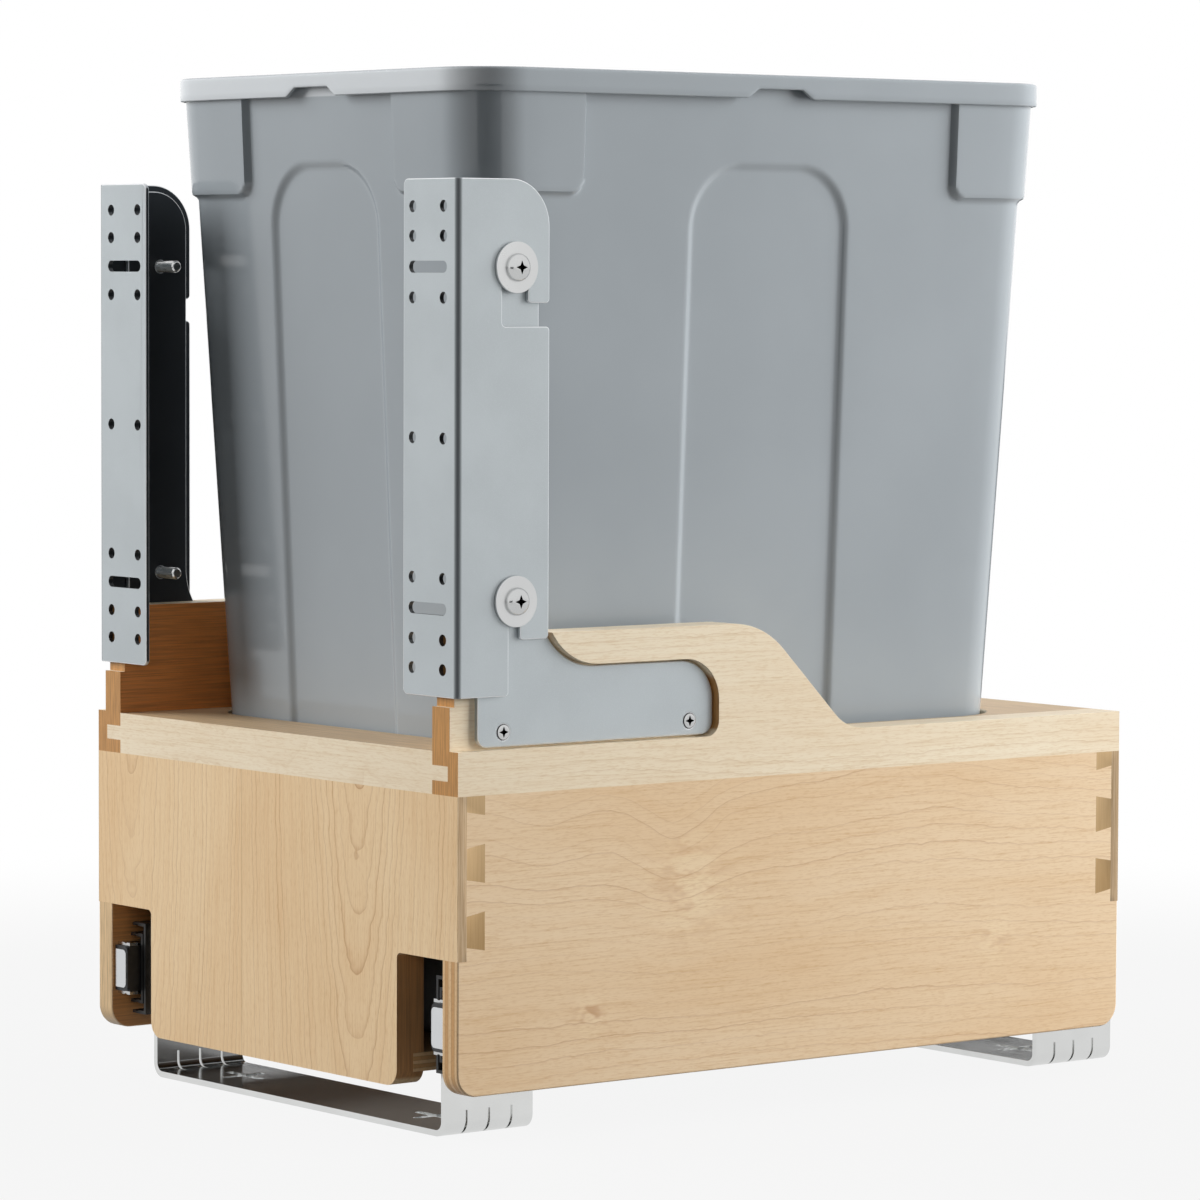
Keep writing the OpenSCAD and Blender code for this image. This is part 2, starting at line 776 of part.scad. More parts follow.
module bracket_screws(side) {
  seat = wing_out + slide_gap + washer_t;
  color(zinc) placed() sided(side) for (z = [stud_low_z, stud_high_z]) difference() {
    union() {
      bar_x(arm_x - stud_end, stud_y, z, stud_r, seat - arm_x + stud_end, small_fn);
      translate([seat, stud_y, z]) rotate([0, 90, 0]) pan_head(pan_r, pan_h, pan_edge);
    }
    translate([seat + pan_h, stud_y, z]) rotate([0, 90, 0]) cross_recess(pan_r);
  }
}

module bracket_washers(side) {
  color(zinc) placed() sided(side) for (z = [stud_low_z, stud_high_z]) difference() {
    bar_x(wing_out + slide_gap, stud_y, z, washer_r, washer_t);
    bar_x(wing_out + slide_gap - over, stud_y, z, stud_r, washer_t + 2 * over, small_fn);
  }
}

// Door brackets

// Wing on the arm plate, with a hooked upper slot and an open lower slot for the clamp screws
module bracket_wing() {
  top = bracket_z + bracket_h;
  slot_half = stud_r + slot_side_gap;
  slot_top = stud_low_z + stud_r + adjust + slot_end_gap;
  hook_top = stud_high_z + stud_r + adjust + slot_end_gap;
  slot_r = slot_half - slot_side_gap / 2;
  hook_r = hook_half - slot_side_gap / 2;
  mouth_top = hook_z + hook_mouth;
  along_x(wing_x, bracket_t) outline(
    [[bend_r, bracket_z], [stud_y - slot_half, bracket_z], [stud_y - slot_half, slot_top],
     [stud_y + slot_half, slot_top], [stud_y + slot_half, tab_z], [wing_d, tab_z],
     [wing_d, hook_z], [stud_y - hook_half, hook_z], [stud_y - hook_half, hook_top],
     [stud_y + hook_half, hook_top], [stud_y + hook_half, mouth_top], [wing_d, mouth_top],
     [wing_d, top], [bend_r, top]],
    [0, sheet_r, slot_r, slot_r, sheet_r, sheet_r, sheet_r, sheet_r, hook_r, hook_r,
     sheet_r, sheet_r, crown_r, 0]);
}

// Flange that lies behind the door, with its holes and slots
module bracket_flange() {
  x0 = wing_out - flange_w;
  x1 = wing_out - bend_r;
  top = bracket_z + bracket_h;
  difference() {
    along_y(0, bracket_t) outline(
      [[x0, bracket_z], [x1, bracket_z], [x1, top], [x0, top]], [flange_r, 0, 0, flange_r]);
    for (rise = concat(door_hole_rises, [0], -door_hole_rises), x = [0, door_hole_pitch])
      translate([column_x - x, -over, bracket_mid + rise]) rotate([-90, 0, 0])
        cylinder(d = door_hole_d, h = bracket_t + 2 * over, $fn = small_fn);
    for (rise = [door_slot_rise, -door_slot_rise])
      along_y(-over, bracket_t + 2 * over)
        translate([column_x - door_hole_pitch / 2, bracket_mid + rise])
          slot(door_hole_pitch + door_hole_d, door_hole_d);
  }
}

module door_bracket(side) {
  color(silver_paint) placed() sided(side) {
    bracket_wing();
    bracket_flange();
    translate([wing_out - bend_r, bend_r, bracket_z]) intersection() {
      difference() {
        cylinder(r = bend_r, h = bracket_h, $fn = round_fn);
        translate([0, 0, -over])
          cylinder(r = bend_r - bracket_t, h = bracket_h + 2 * over, $fn = round_fn);
      }
      translate([0, -bend_r, 0]) cube([bend_r, bend_r, bracket_h]);
    }
  }
}

// Bin

// Points of a rounded rectangle about the bin's centre line, at height z
function ring(half_x, half_y, r, z) = [
  for (q = [[1, 1, 0], [-1, 1, 90], [-1, -1, 180], [1, -1, 270]], i = [0:corner_steps])
    let (a = q[2] + i * 90 / corner_steps)
    [q.x * (half_x - r) + r * cos(a), bin_y + q.y * (half_y - r) + r * sin(a), z]];

// Closed solid through a list of rings, lowest first
module loft(rings) {
  n = len(rings[0]);
  m = len(rings);
  polyhedron(
    points = [for (one = rings) each one],
    faces = concat(
      [[for (i = [0:n - 1]) i]],
      [for (k = [0:m - 2], i = [0:n - 1])
        [k * n + i, (k + 1) * n + i, (k + 1) * n + (i + 1) % n, k * n + (i + 1) % n]],
      [[for (i = [n - 1:-1:0]) (m - 1) * n + i]]));
}

// Ring of the drafted body at height z, grown by grow on all sides
function body_ring(z, grow) =
  let (loss = (bin_top - z) * draft_share)
  ring(body_half_w - loss + grow, body_half_d - loss + grow, body_r + min(grow, pad_proud), z);

// Drafted body from z0 to z1, grown by grow, with a rounded bottom edge of radius r
module body_form(z0, z1, grow, r) {
  steps = 4;
  loft(concat(
    r > 0 ? [for (i = [0:steps - 1]) let (a = 90 * i / steps)
      body_ring(z0 + r * (1 - cos(a)), grow - r * (1 - sin(a)))] : [],
    [body_ring(z0 + r, grow), body_ring(z1, grow)]));
}

// One arched panel's drawing, half_w wide each way from u
module arch(u, half) {
  z0 = bin_z + arch_foot;
  z1 = bin_top - arch_drop;
  foot = arch_r / 3;
  outline([[u - half, z0], [u + half, z0], [u + half, z1], [u - half, z1]],
          [foot, foot, arch_r, arch_r]);
}

// Body with its four arched panels set in, grown by grow
module panelled_body(z0, z1, grow, r) {
  difference() {
    body_form(z0, z1, grow, r);
    difference() {
      union() {
        along_y(bin_y - rim_half_d, 2 * rim_half_d) arch(0, arch_half_w);
        along_x(-rim_half_w, 2 * rim_half_w) arch(bin_y, arch_half_d);
      }
      body_form(z0, z1, grow - arch_depth, 0);
    }
  }
}

// Thickened corners under the rim
module corner_pads() {
  z0 = bin_top - pad_drop;
  z1 = bin_top - skirt_h / 2;
  intersection() {
    body_form(z0, z1, pad_proud, 0);
    for (side = [left, right], end = [-1, 1])
      translate([0, bin_y, 0]) sided(side) mirror([0, end < 0 ? 1 : 0, 0]) intersection() {
        along_y(0, rim_half_d) outline(
          [[pad_x, z0], [rim_half_w, z0], [rim_half_w, z1], [pad_x, z1]], [pad_r, 0, 0, 0]);
        along_x(0, rim_half_w) outline(
          [[pad_y, z0], [rim_half_d, z0], [rim_half_d, z1], [pad_y, z1]], [pad_r, 0, 0, 0]);
      }
  }
}

// Trapezoid raised in the skirt's lower edge, centred on u
module notch(u) {
  z0 = bin_top - skirt_h;
  polygon([[u - notch_half - over, z0 - over], [u + notch_half + over, z0 - over],
           [u + notch_half - notch_slope, z0 + notch_h],
           [u - notch_half + notch_slope, z0 + notch_h]]);
}

// Rim with its turned-down skirt
module rim() {
  z0 = bin_top - skirt_h;
  difference() {
    loft([ring(rim_half_w, rim_half_d, rim_r, z0),
          ring(rim_half_w, rim_half_d, rim_r, bin_top - rim_edge),
          ring(rim_half_w - rim_edge / 3, rim_half_d - rim_edge / 3, rim_r - rim_edge / 3,
            bin_top - rim_edge / 3),
          ring(rim_half_w - rim_edge, rim_half_d - rim_edge, rim_r - rim_edge, bin_top)]);
    loft([ring(rim_half_w - skirt_t, rim_half_d - skirt_t, rim_r - skirt_t, z0 - over),
          ring(rim_half_w - skirt_t, rim_half_d - skirt_t, rim_r - skirt_t, bin_top - rim_t)]);
    along_y(bin_y - rim_half_d - over, 2 * rim_half_d + 2 * over) notch(0);
    along_x(-rim_half_w - over, 2 * rim_half_w + 2 * over) notch(bin_y);
  }
}

module bin() {
  color(bin_grey) placed() difference() {
    union() {
      panelled_body(bin_z, bin_top - rim_t / 2, 0, base_r);
      rim();
      corner_pads();
    }
    panelled_body(bin_z + bin_floor, bin_top + over, -bin_wall, base_r - bin_wall);
  }
}

front_strap();
rear_strap();
slide_cabinet(left);  // slide_cabinet_left
slide_cabinet(right);  // slide_cabinet_right
slide_rivets(left);  // slide_rivets_left
slide_rivets(right);  // slide_rivets_right
stop_bumper(left);  // stop_bumper_left
stop_bumper(right);  // stop_bumper_right
slide_middle(left);  // slide_middle_left
slide_middle(right);  // slide_middle_right
cage_outer(left);  // cage_outer_left
cage_outer(right);  // cage_outer_right
balls_outer(left);  // balls_outer_left
balls_outer(right);  // balls_outer_right
cage_inner(left);  // cage_inner_left
cage_inner(right);  // cage_inner_right
balls_inner(left);  // balls_inner_left
balls_inner(right);  // balls_inner_right
slide_drawer(left);  // slide_drawer_left
slide_drawer(right);  // slide_drawer_right
drawer_screws(left);  // drawer_screws_left
drawer_screws(right);  // drawer_screws_right
slide_cap(left);  // slide_cap_left
slide_cap(right);  // slide_cap_right
slide_cap_plate(left);  // slide_cap_plate_left
slide_cap_plate(right);  // slide_cap_plate_right
side_panel(left);  // side_panel_left
side_panel(right);  // side_panel_right
front_panel();
back_panel();
bottom_board();
platform();
side_rail(left);  // side_rail_left
side_rail(right);  // side_rail_right
arm_plate(left);  // arm_plate_left
arm_plate(right);  // arm_plate_right
arm_screws(left);  // arm_screws_left
arm_screws(right);  // arm_screws_right
bracket_screws(left);  // bracket_screws_left
bracket_screws(right);  // bracket_screws_right
bracket_washers(left);  // bracket_washers_left
bracket_washers(right);  // bracket_washers_right
door_bracket(left);  // door_bracket_left
door_bracket(right);  // door_bracket_right
bin();
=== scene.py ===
# %% [markdown]
# # A pull-out waste bin unit
# A wooden tray rides on two ball-bearing slides and carries a tall moulded bin. Two steel brackets
# on its front hold the cabinet door. The CAD model already has every board and plate in its exact
# place, so this lesson adds what the eye needs: soft moulded forms, rounded edges, screw threads,
# wood grain, paint, plating, light and a camera.

# %% Load the CAD frame
import math
import bpy
import bmesh
from mathutils import Matrix, Vector


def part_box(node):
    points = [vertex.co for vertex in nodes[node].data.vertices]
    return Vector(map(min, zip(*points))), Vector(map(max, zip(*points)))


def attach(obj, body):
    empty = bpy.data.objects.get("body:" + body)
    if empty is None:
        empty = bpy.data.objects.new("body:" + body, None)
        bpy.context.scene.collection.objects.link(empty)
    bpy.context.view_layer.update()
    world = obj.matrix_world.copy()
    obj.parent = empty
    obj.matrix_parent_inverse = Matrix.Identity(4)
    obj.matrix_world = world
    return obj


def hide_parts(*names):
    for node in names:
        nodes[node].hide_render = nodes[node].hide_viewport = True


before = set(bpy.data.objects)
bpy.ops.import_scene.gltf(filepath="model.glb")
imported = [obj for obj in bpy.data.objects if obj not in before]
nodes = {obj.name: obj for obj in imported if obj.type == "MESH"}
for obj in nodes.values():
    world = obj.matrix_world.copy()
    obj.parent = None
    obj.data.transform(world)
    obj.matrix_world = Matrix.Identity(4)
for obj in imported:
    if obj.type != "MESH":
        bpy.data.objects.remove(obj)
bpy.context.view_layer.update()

# %% [markdown]
# ## Working from the tray's front face
# A joiner measures from a reference face. Here it is the front of the tray, and every length is
# in millimetres from that face, the unit's middle and the cabinet floor. One function turns such
# a measure into the metres that the scene is built in.

# %% Reference faces
MM = 0.001
front_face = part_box("front_panel")[0].y
SIDES = {"left": -1, "right": 1}


def place(x, y, z):
    """A point in millimetres from the middle, the tray's front face and the floor."""
    return Vector((x * MM, front_face + y * MM, z * MM))


print("front face at", round(front_face, 4), "m")

# %% [markdown]
# ## Helpers for modelling by hand
# An operator works on whatever is selected, so each step first selects exactly one piece. A few
# steps come back for every piece: pick it, name it, apply a modifier, and at the end smooth it, put
# it on the body that carries it and hide the CAD solids it stands for. Each of them is a small function.

# %% Selecting and finishing
SMOOTH_BELOW = math.radians(38)


def pick(piece):
    """Selects one piece alone and makes it the active one."""
    if bpy.context.object and bpy.context.object.mode != "OBJECT":
        bpy.ops.object.mode_set(mode="OBJECT")
    bpy.ops.object.select_all(action="DESELECT")
    piece.hide_set(False)
    piece.select_set(True)
    bpy.context.view_layer.objects.active = piece


def named(name):
    """Gives the object that an operator has just added its name."""
    piece = bpy.context.object
    piece.name = piece.data.name = name
    return piece


def apply_modifier(piece, kind, **settings):
    """Adds one modifier, sets it up and applies it."""
    pick(piece)
    modifier = piece.modifiers.new(kind.title(), kind)
    for key, value in settings.items():
        setattr(modifier, key, value)
    bpy.ops.object.modifier_apply(modifier=modifier.name)


def finish(piece, body, slot, *replaced):
    """Smooths a piece, puts it on the body that carries it, and hides the CAD nodes it stands for."""
    pick(piece)
    bpy.ops.object.transform_apply(location=True, rotation=True, scale=True)
    if not piece.data.has_custom_normals:
        bpy.ops.object.shade_smooth_by_angle(angle=SMOOTH_BELOW)
    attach(piece, body)
    if replaced:
        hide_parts(*replaced)
    return piece


print("faces that meet at less than", round(math.degrees(SMOOTH_BELOW)), "degrees are shaded smooth")

# %% [markdown]
# A CAD solid comes in as loose triangles, with its edges as sharp as a knife. No real board or
# plate is like that: a bevel on the whole piece would also round the joints between boards, so
# the edges are picked in code, by their place, before the bevel is made. The weighted normals
# then keep the large flat faces flat and leave the bend to the narrow strips.

# %% Copying a CAD solid and rounding its edges
SHARP_ABOVE = math.radians(35)


def twin_of(part, name):
    """A second object that has its own copy of a part's mesh."""
    twin = bpy.data.objects.new(name, part.data.copy())
    bpy.context.scene.collection.objects.link(twin)
    return twin


def weld(piece, gap=0.01 * MM, flat=0.4):
    """Joins loose triangles into one skin and merges those within a flat angle, in degrees."""
    pick(piece)
    bpy.ops.object.mode_set(mode="EDIT")
    bpy.ops.mesh.select_all(action="SELECT")
    bpy.ops.mesh.remove_doubles(threshold=gap)
    bpy.ops.mesh.dissolve_limited(angle_limit=math.radians(flat))
    bpy.ops.object.mode_set(mode="OBJECT")


def copy_of(node):
    """A welded copy of one CAD solid, without its finish."""
    twin = twin_of(nodes[node], node + "_dressed")
    twin.data.materials.clear()
    weld(twin)
    return twin


def round_edges(piece, width, keep=None, segments=3, clamp=True):
    """Rounds the sharp edges by a width in millimetres, where keep(middle) says so."""
    pick(piece)
    bpy.ops.object.mode_set(mode="EDIT")
    bpy.ops.mesh.select_mode(type="EDGE")
    bpy.ops.mesh.select_all(action="DESELECT")
    skin = bmesh.from_edit_mesh(piece.data)
    count = 0
    for edge in skin.edges:
        if len(edge.link_faces) != 2 or edge.calc_face_angle(0) < SHARP_ABOVE:
            continue
        middle = (edge.verts[0].co + edge.verts[1].co) / 2
        if keep is None or keep(middle):
            edge.select = True
            count += 1
    skin.select_flush_mode()
    bmesh.update_edit_mesh(piece.data)
    if count:
        bpy.ops.mesh.bevel(offset=width * MM, segments=segments, affect="EDGES", clamp_overlap=clamp)
    bpy.ops.object.mode_set(mode="OBJECT")
    bpy.ops.object.shade_smooth_by_angle(angle=SMOOTH_BELOW)
    apply_modifier(piece, "WEIGHTED_NORMAL", keep_sharp=True, weight=80)
    return count


print("CAD solids to choose from:", len(nodes))

# %% [markdown]
# ## The moulded bin
# The real bin is one thin shell: a drafted body with round corners, thicker pads at the top
# corners, four shallow arches pressed into its walls, and a rim that turns down over the body.
# Cutting those forms with booleans leaves hard edges that a glossy grey shows at once. Here a
# flat sheet is wrapped round the bin instead: its columns go round the plan, its rows go up the
# outside, over the rim and down the inside. Each point then steps in or out with a soft slope, so
# every arch and pad gets the small radius that a mould has. Columns and rows lie closer together
# where such a slope runs.

# %% Sizes of the bin
BIN = dict(half_w=127.3, half_d=177.6, middle=205.8, base=38.3, top=496.2, draft=0.0464, corner=25,
           wall=2.6, floor=3, foot_r=8, over=5.2, skirt=11.4, skirt_t=2.1, edge=1.6)
ARCH = dict(front=42.8, side=48.0, foot=70.3, crown=452.2, foot_r=10, crown_r=30, depth=2.0, slope=4.2)
PAD = dict(front=61.0, side=115.5, foot=438.2, r=7, proud=3.1, slope=2.6)
NOTCH = dict(half=20, slope=6.5, h=4.4)


def soft_step(t):
    """Runs from 0 to 1 with a soft start and end."""
    t = min(max(t, 0.0), 1.0)
    return t * t * (3 - 2 * t)


def inside_arch(half, u, z):
    """How far a point lies inside an arch's outline, negative outside, in millimetres."""
    middle = (ARCH["foot"] + ARCH["crown"]) / 2
    r = ARCH["crown_r"] if z > middle else ARCH["foot_r"]
    qx = abs(u) - half + r
    qz = abs(z - middle) - (ARCH["crown"] - ARCH["foot"]) / 2 + r
    return r - min(max(qx, qz), 0) - math.hypot(max(qx, 0), max(qz, 0))


def inside_pad(edge, u, z):
    """The same for a corner pad, which reaches the bin's corner and the rim."""
    qx = edge - abs(u) + PAD["r"]
    qz = PAD["foot"] - z + PAD["r"]
    return PAD["r"] - min(max(qx, qz), 0) - math.hypot(max(qx, 0), max(qz, 0))


def relief(side, u, z, pads=True):
    """How far the wall stands out of the plain drafted body at a point."""
    half, edge = (ARCH["side"], PAD["side"]) if side % 2 == 0 else (ARCH["front"], PAD["front"])
    out = -ARCH["depth"] * soft_step(inside_arch(half, u, z) / ARCH["slope"] + 0.5)
    if pads:
        out += PAD["proud"] * soft_step(inside_pad(edge, u, z) / PAD["slope"] + 0.5)
    return out


print("relief on an arch", round(relief(1, 0, 300), 2), "and on a pad", round(relief(1, 90, 460), 2))

# %% [markdown]
# The plan is a rectangle with round corners. A column that crosses an arch, a notch or a pad's
# edge keeps its distance from the middle of its side at every height. The columns between the
# last pad edge and the corner share out what the draft leaves.

# %% Columns round the plan
CORNER_STEPS = 10
PAD_ZONE = 10


def spread(stops):
    """Numbers from stop to stop, where each stop is (start, end, count)."""
    out = []
    for start, end, count in stops:
        out += [start + (end - start) * i / count for i in range(count)]
    return out + [stops[-1][1]]


def side_columns(edge, half):
    """Distances from the middle of one side, closest together where the slopes are."""
    notch, arch_end, pad_start = 11, half + 4, edge - 4
    fine = round((arch_end - notch) / 1.35)
    inner = spread([(0, notch, 3), (notch, arch_end, fine), (arch_end, pad_start, 3),
                    (pad_start, edge + PAD_ZONE, 11)])
    return [-u for u in reversed(inner[1:])] + inner


def plan_columns():
    """Every column as (side, distance along it or None, share of the rest, corner angle)."""
    out = []
    for side in range(4):
        edge, half = (PAD["side"], ARCH["side"]) if side % 2 == 0 else (PAD["front"], ARCH["front"])
        fixed = side_columns(edge, half)
        out += [(side, None, -1, 0), (side, None, -0.5, 0)]
        out += [(side, u, 0, 0) for u in fixed]
        out.append((side, None, 0.5, 0))
        out += [(side, None, 1, 90 * k / CORNER_STEPS) for k in range(CORNER_STEPS)]
    return out


COLUMNS = plan_columns()
NORMALS = [(1, 0), (0, 1), (-1, 0), (0, -1)]


def plan_point(column, z, out, pads=True, carved=True):
    """Place of a column at a height, a step out from the drafted body, in millimetres."""
    side, u, share, angle = column
    loss = (BIN["top"] - z) * BIN["draft"]
    half_x, half_y = BIN["half_w"] - loss, BIN["half_d"] - loss
    normal, along = (half_x, half_y) if side % 2 == 0 else (half_y, half_x)
    last = (PAD["side"] if side % 2 == 0 else PAD["front"]) + PAD_ZONE
    straight = along - BIN["corner"]
    if u is None:
        u = math.copysign(last + (straight - last) * abs(share), share) if angle == 0 else straight
    step = out + (relief(side, u, z, pads) if carved else 0)
    n = Vector(NORMALS[side])
    t = Vector((-n.y, n.x))
    r = BIN["corner"] + step
    if angle == 0:
        p = n * (normal + step) + t * u
    else:
        a = math.radians(angle)
        p = n * (normal - BIN["corner"]) + t * straight + (n * math.cos(a) + t * math.sin(a)) * r
    return p.x, BIN["middle"] + p.y


print(len(COLUMNS), "columns round the bin")

# %% [markdown]
# The rows follow the wall's section: round the foot, up the outside, out under the rim, down
# and round the skirt's lower edge, over the rim's edge and down the inside. The skirt's lower edge
# rises where a notch lies, so each row also says how much of that rise it takes part in.

# %% Rows of the bin's section
def arc(start, end, count):
    """Angles of a quarter round, ends included."""
    return [math.radians(start + (end - start) * i / count) for i in range(count + 1)]


def notch_rise(column):
    """How far the skirt's lower edge is raised at a column."""
    u = column[1]
    if u is None:
        return 0
    return NOTCH["h"] * min(max((NOTCH["half"] - abs(u)) / NOTCH["slope"], 0), 1)


ARCH_FOOT, PLAIN_WALL, ARCH_CROWN = (66, 84), 172, (415, 458)
UNDER_RIM = BIN["top"] - 2.6


def outside_rows():
    """Rows round the foot and up the outside, as (height, step out, share of the notch, part)."""
    base, r = BIN["base"], BIN["foot_r"]
    rows = [(base + r * (1 - math.cos(a)), -r * (1 - math.sin(a)), 0, "outside") for a in arc(0, 90, 6)]
    heights = spread([(base + r + 4, ARCH_FOOT[0], 2), (*ARCH_FOOT, 8), (ARCH_FOOT[1], PLAIN_WALL, 5),
                      (PLAIN_WALL, ARCH_CROWN[0], 12), (*ARCH_CROWN, 34),
                      (ARCH_CROWN[1], BIN["top"] - BIN["skirt"] - 2, 5)])
    return rows + [(z, 0, 0, "outside") for z in (*heights, UNDER_RIM)]


def rim_rows():
    """Rows out under the rim, round the skirt's lower edge and over the rim's edge."""
    top, over, lip = BIN["top"], BIN["over"], 0.7
    inner = over - BIN["skirt_t"] + 0.05
    low = top - BIN["skirt"]
    rows = [(UNDER_RIM, inner, 0, "rim"), (top - 5, inner, 0.2, "rim"), (low + lip, inner, 1, "rim")]
    middle, half = (inner + over) / 2, (over - inner) / 2
    for a in arc(180, 360, 6):
        rows.append((low + lip + lip * math.sin(a), middle + half * math.cos(a), 1, "rim"))
    e = BIN["edge"]
    rows += [(low + 3.5, over, 0.6, "rim"), (top - e - 2, over, 0.1, "rim")]
    for a in arc(0, 90, 5):
        rows.append((top - e + e * math.sin(a), over - e + e * math.cos(a), 0, "rim"))
    return rows + [(top, 0.4, 0, "rim")]


def inside_rows():
    """Rows round the rim's inner edge, down the inside and round to the floor."""
    top, wall, lip = BIN["top"], BIN["wall"], 1.3
    rows = []
    for a in arc(90, 180, 4):
        rows.append((top - lip + lip * math.sin(a), -wall + lip + lip * math.cos(a), 0, "rim"))
    heights = spread([(ARCH_FOOT[1], PLAIN_WALL, 4), (PLAIN_WALL, ARCH_CROWN[0], 10), (*ARCH_CROWN, 22),
                      (ARCH_CROWN[1], top - 6, 4)])
    rows += [(z, -wall, 0, "inside") for z in (*reversed(heights), 79, 75, 71, 67, 60)]
    r, floor = BIN["foot_r"] - wall, BIN["base"] + BIN["floor"]
    for a in arc(0, 90, 4):
        rows.append((floor + r - r * math.sin(a), -wall - r * (1 - math.cos(a)), 0, "inside"))
    return rows


BIN_ROWS = outside_rows() + rim_rows() + inside_rows()
print(len(BIN_ROWS), "rows up and down the wall")

# %% [markdown]
# A grid primitive gives the flat sheet. Its first and last columns meet at the same place, so a
# merge closes the seam, and two flat faces close the foot and the floor.

# %% Wrapping the sheet round the bin
def wrap(name, columns, rows, point):
    """A grid whose vertex (row, column) is moved to point(row, column), closed round."""
    bpy.ops.object.select_all(action="DESELECT")
    bpy.ops.mesh.primitive_grid_add(x_subdivisions=columns, y_subdivisions=rows - 1, size=1)
    sheet = named(name)
    for vertex in sheet.data.vertices:
        i = round((vertex.co.x + 0.5) * columns) % columns
        j = round((vertex.co.y + 0.5) * (rows - 1))
        vertex.co = point(j, i)
    return sheet


def close_ends(piece, gap):
    """Merges the seam, closes each open rim with a face and turns all faces outwards."""
    pick(piece)
    bpy.ops.object.mode_set(mode="EDIT")
    bpy.ops.mesh.select_mode(type="VERT")
    bpy.ops.mesh.select_all(action="SELECT")
    bpy.ops.mesh.remove_doubles(threshold=gap)
    bpy.ops.mesh.dissolve_degenerate(threshold=gap)
    bpy.ops.mesh.select_all(action="DESELECT")
    bpy.ops.mesh.select_non_manifold(extend=False, use_wire=False, use_multi_face=False,
                                     use_non_contiguous=False, use_verts=False)
    bpy.ops.mesh.edge_face_add()
    bpy.ops.mesh.select_all(action="SELECT")
    bpy.ops.mesh.normals_make_consistent(inside=False)
    bpy.ops.object.mode_set(mode="OBJECT")


PLAIN_OUTSIDE, PLAIN_INSIDE = BIN["base"] + 12, 64


def bin_point(j, i):
    """Place of the sheet's vertex in row j and column i. The rim has the plan of the bin's top,
    and the walls are plain below a height."""
    z, out, follow, part = BIN_ROWS[j]
    column = COLUMNS[i]
    z += follow * notch_rise(column)
    if part == "rim":
        x, y = plan_point(column, BIN["top"], out, False, False)
    elif part == "outside":
        x, y = plan_point(column, z, out, True, z > PLAIN_OUTSIDE)
    else:
        x, y = plan_point(column, z, out, False, z > PLAIN_INSIDE)
    return place(x, y, z)


moulded_bin = wrap("moulded_bin", len(COLUMNS), len(BIN_ROWS), bin_point)
close_ends(moulded_bin, 0.005 * MM)
finish(moulded_bin, "bin", "bin_plastic", "bin")
bin_size = [round(v / MM, 1) for v in moulded_bin.dimensions]
print("bin:", len(moulded_bin.data.polygons), "faces, size in millimetres", bin_size)

# %% [markdown]
# ## The wooden boards
# The tray's boards are cut square and joined tightly, so only their free edges are eased with
# sandpaper. The CAD solids have every joint in its place already, so they are copied rather than
# built again. These are the measures that tell one edge from another.

# %% The tray's measures
half_w, side_in = 150.8, 138.8
tray_d, end_t, lap_t = 414.8, 15.5, 5.1
low_edge, gap_top, platform_top = 23.0, 85.9, 181.9
slope_foot, opening_end = 230.0, 127.5
print("tray", 2 * half_w, "by", tray_d, "mm, side panels", round(half_w - side_in, 1), "mm thick")

# %% [markdown]
# The joint lines stay sharp, because a rounded edge there would open a gap. So an edge is rounded
# only when it doesn't lie on a face that another board meets. The test is made by place, as a
# joiner would mark the edges with a pencil.

# %% Edges that are eased
def in_mm(point):
    """A point in millimetres from the middle, the tray's front face and the floor."""
    return point.x / MM, (point.y - front_face) / MM, point.z / MM


def near(a, b, gap=0.3):
    """Whether two measures are the same, to within a gap."""
    return abs(a - b) < gap


def side_edges(point):
    """A side panel's lower edge and the corners that stand free beside the slide gaps."""
    x, y, z = in_mm(point)
    on_face = near(abs(x), half_w) or near(abs(x), side_in)
    at_end = y < end_t + 0.5 or y > tray_d - end_t - 0.5
    corner = at_end and z < gap_top + 0.3 and not near(z, gap_top)
    return on_face and (corner or z < low_edge + 1)


def end_edges(point):
    """The outline of the apron between the two slide gaps."""
    x, y, z = in_mm(point)
    on_face = near(y, 0) or near(y, tray_d) or near(y, end_t) or near(y, tray_d - end_t)
    return on_face and (z < gap_top - 0.9 or (near(z, gap_top) and abs(x) < side_in - 0.8))


def rail_edges(point):
    """Everything above the platform, and the outer edge behind the slope."""
    x, y, z = in_mm(point)
    above = z > platform_top + 0.5 and not near(y, 0, 0.1)
    behind = z > platform_top - 1 and abs(x) > half_w - 0.8 and y > slope_foot
    return above or behind


def opening_edges(point):
    """The edges of the opening for the bin, but not those that meet a rail or the air."""
    x, y, _ = in_mm(point)
    return abs(x) < opening_end and 3 < y < tray_d - 3


print("eased below", gap_top, "mm and above", platform_top, "mm, and round the opening")

# %% [markdown]
# Sandpaper takes off a little under a millimetre. The same width all over would look like a
# machine's work on the thin parts, so the rails and the bottom board get less.

# %% Boards with eased edges
EASED = {"side_panel_left": (0.9, side_edges), "side_rail_left": (0.7, rail_edges),
         "side_panel_right": (0.9, side_edges), "side_rail_right": (0.7, rail_edges),
         "front_panel": (0.9, end_edges), "back_panel": (0.9, end_edges),
         "platform": (0.8, opening_edges), "bottom_board": (0.4, None)}
boards = {}
for name, (width, keep) in EASED.items():
    boards[name] = copy_of(name)
    print(name, "edges:", round_edges(boards[name], width, keep))
    finish(boards[name], "tray", "maple_ply" if name == "bottom_board" else "maple", name)

# %% [markdown]
# ## Sheet steel: brackets, arm plates and straps
# Punched and bent sheet has a small broken edge all round, and that edge is what catches the
# light in a photograph. Each plate is a welded copy with every sharp edge rounded a little.

# %% Plates with broken edges
HOLES = dict(inner=111.5, outer=147.0, low=208.0, high=443.2)
SHEET_T = 2.5


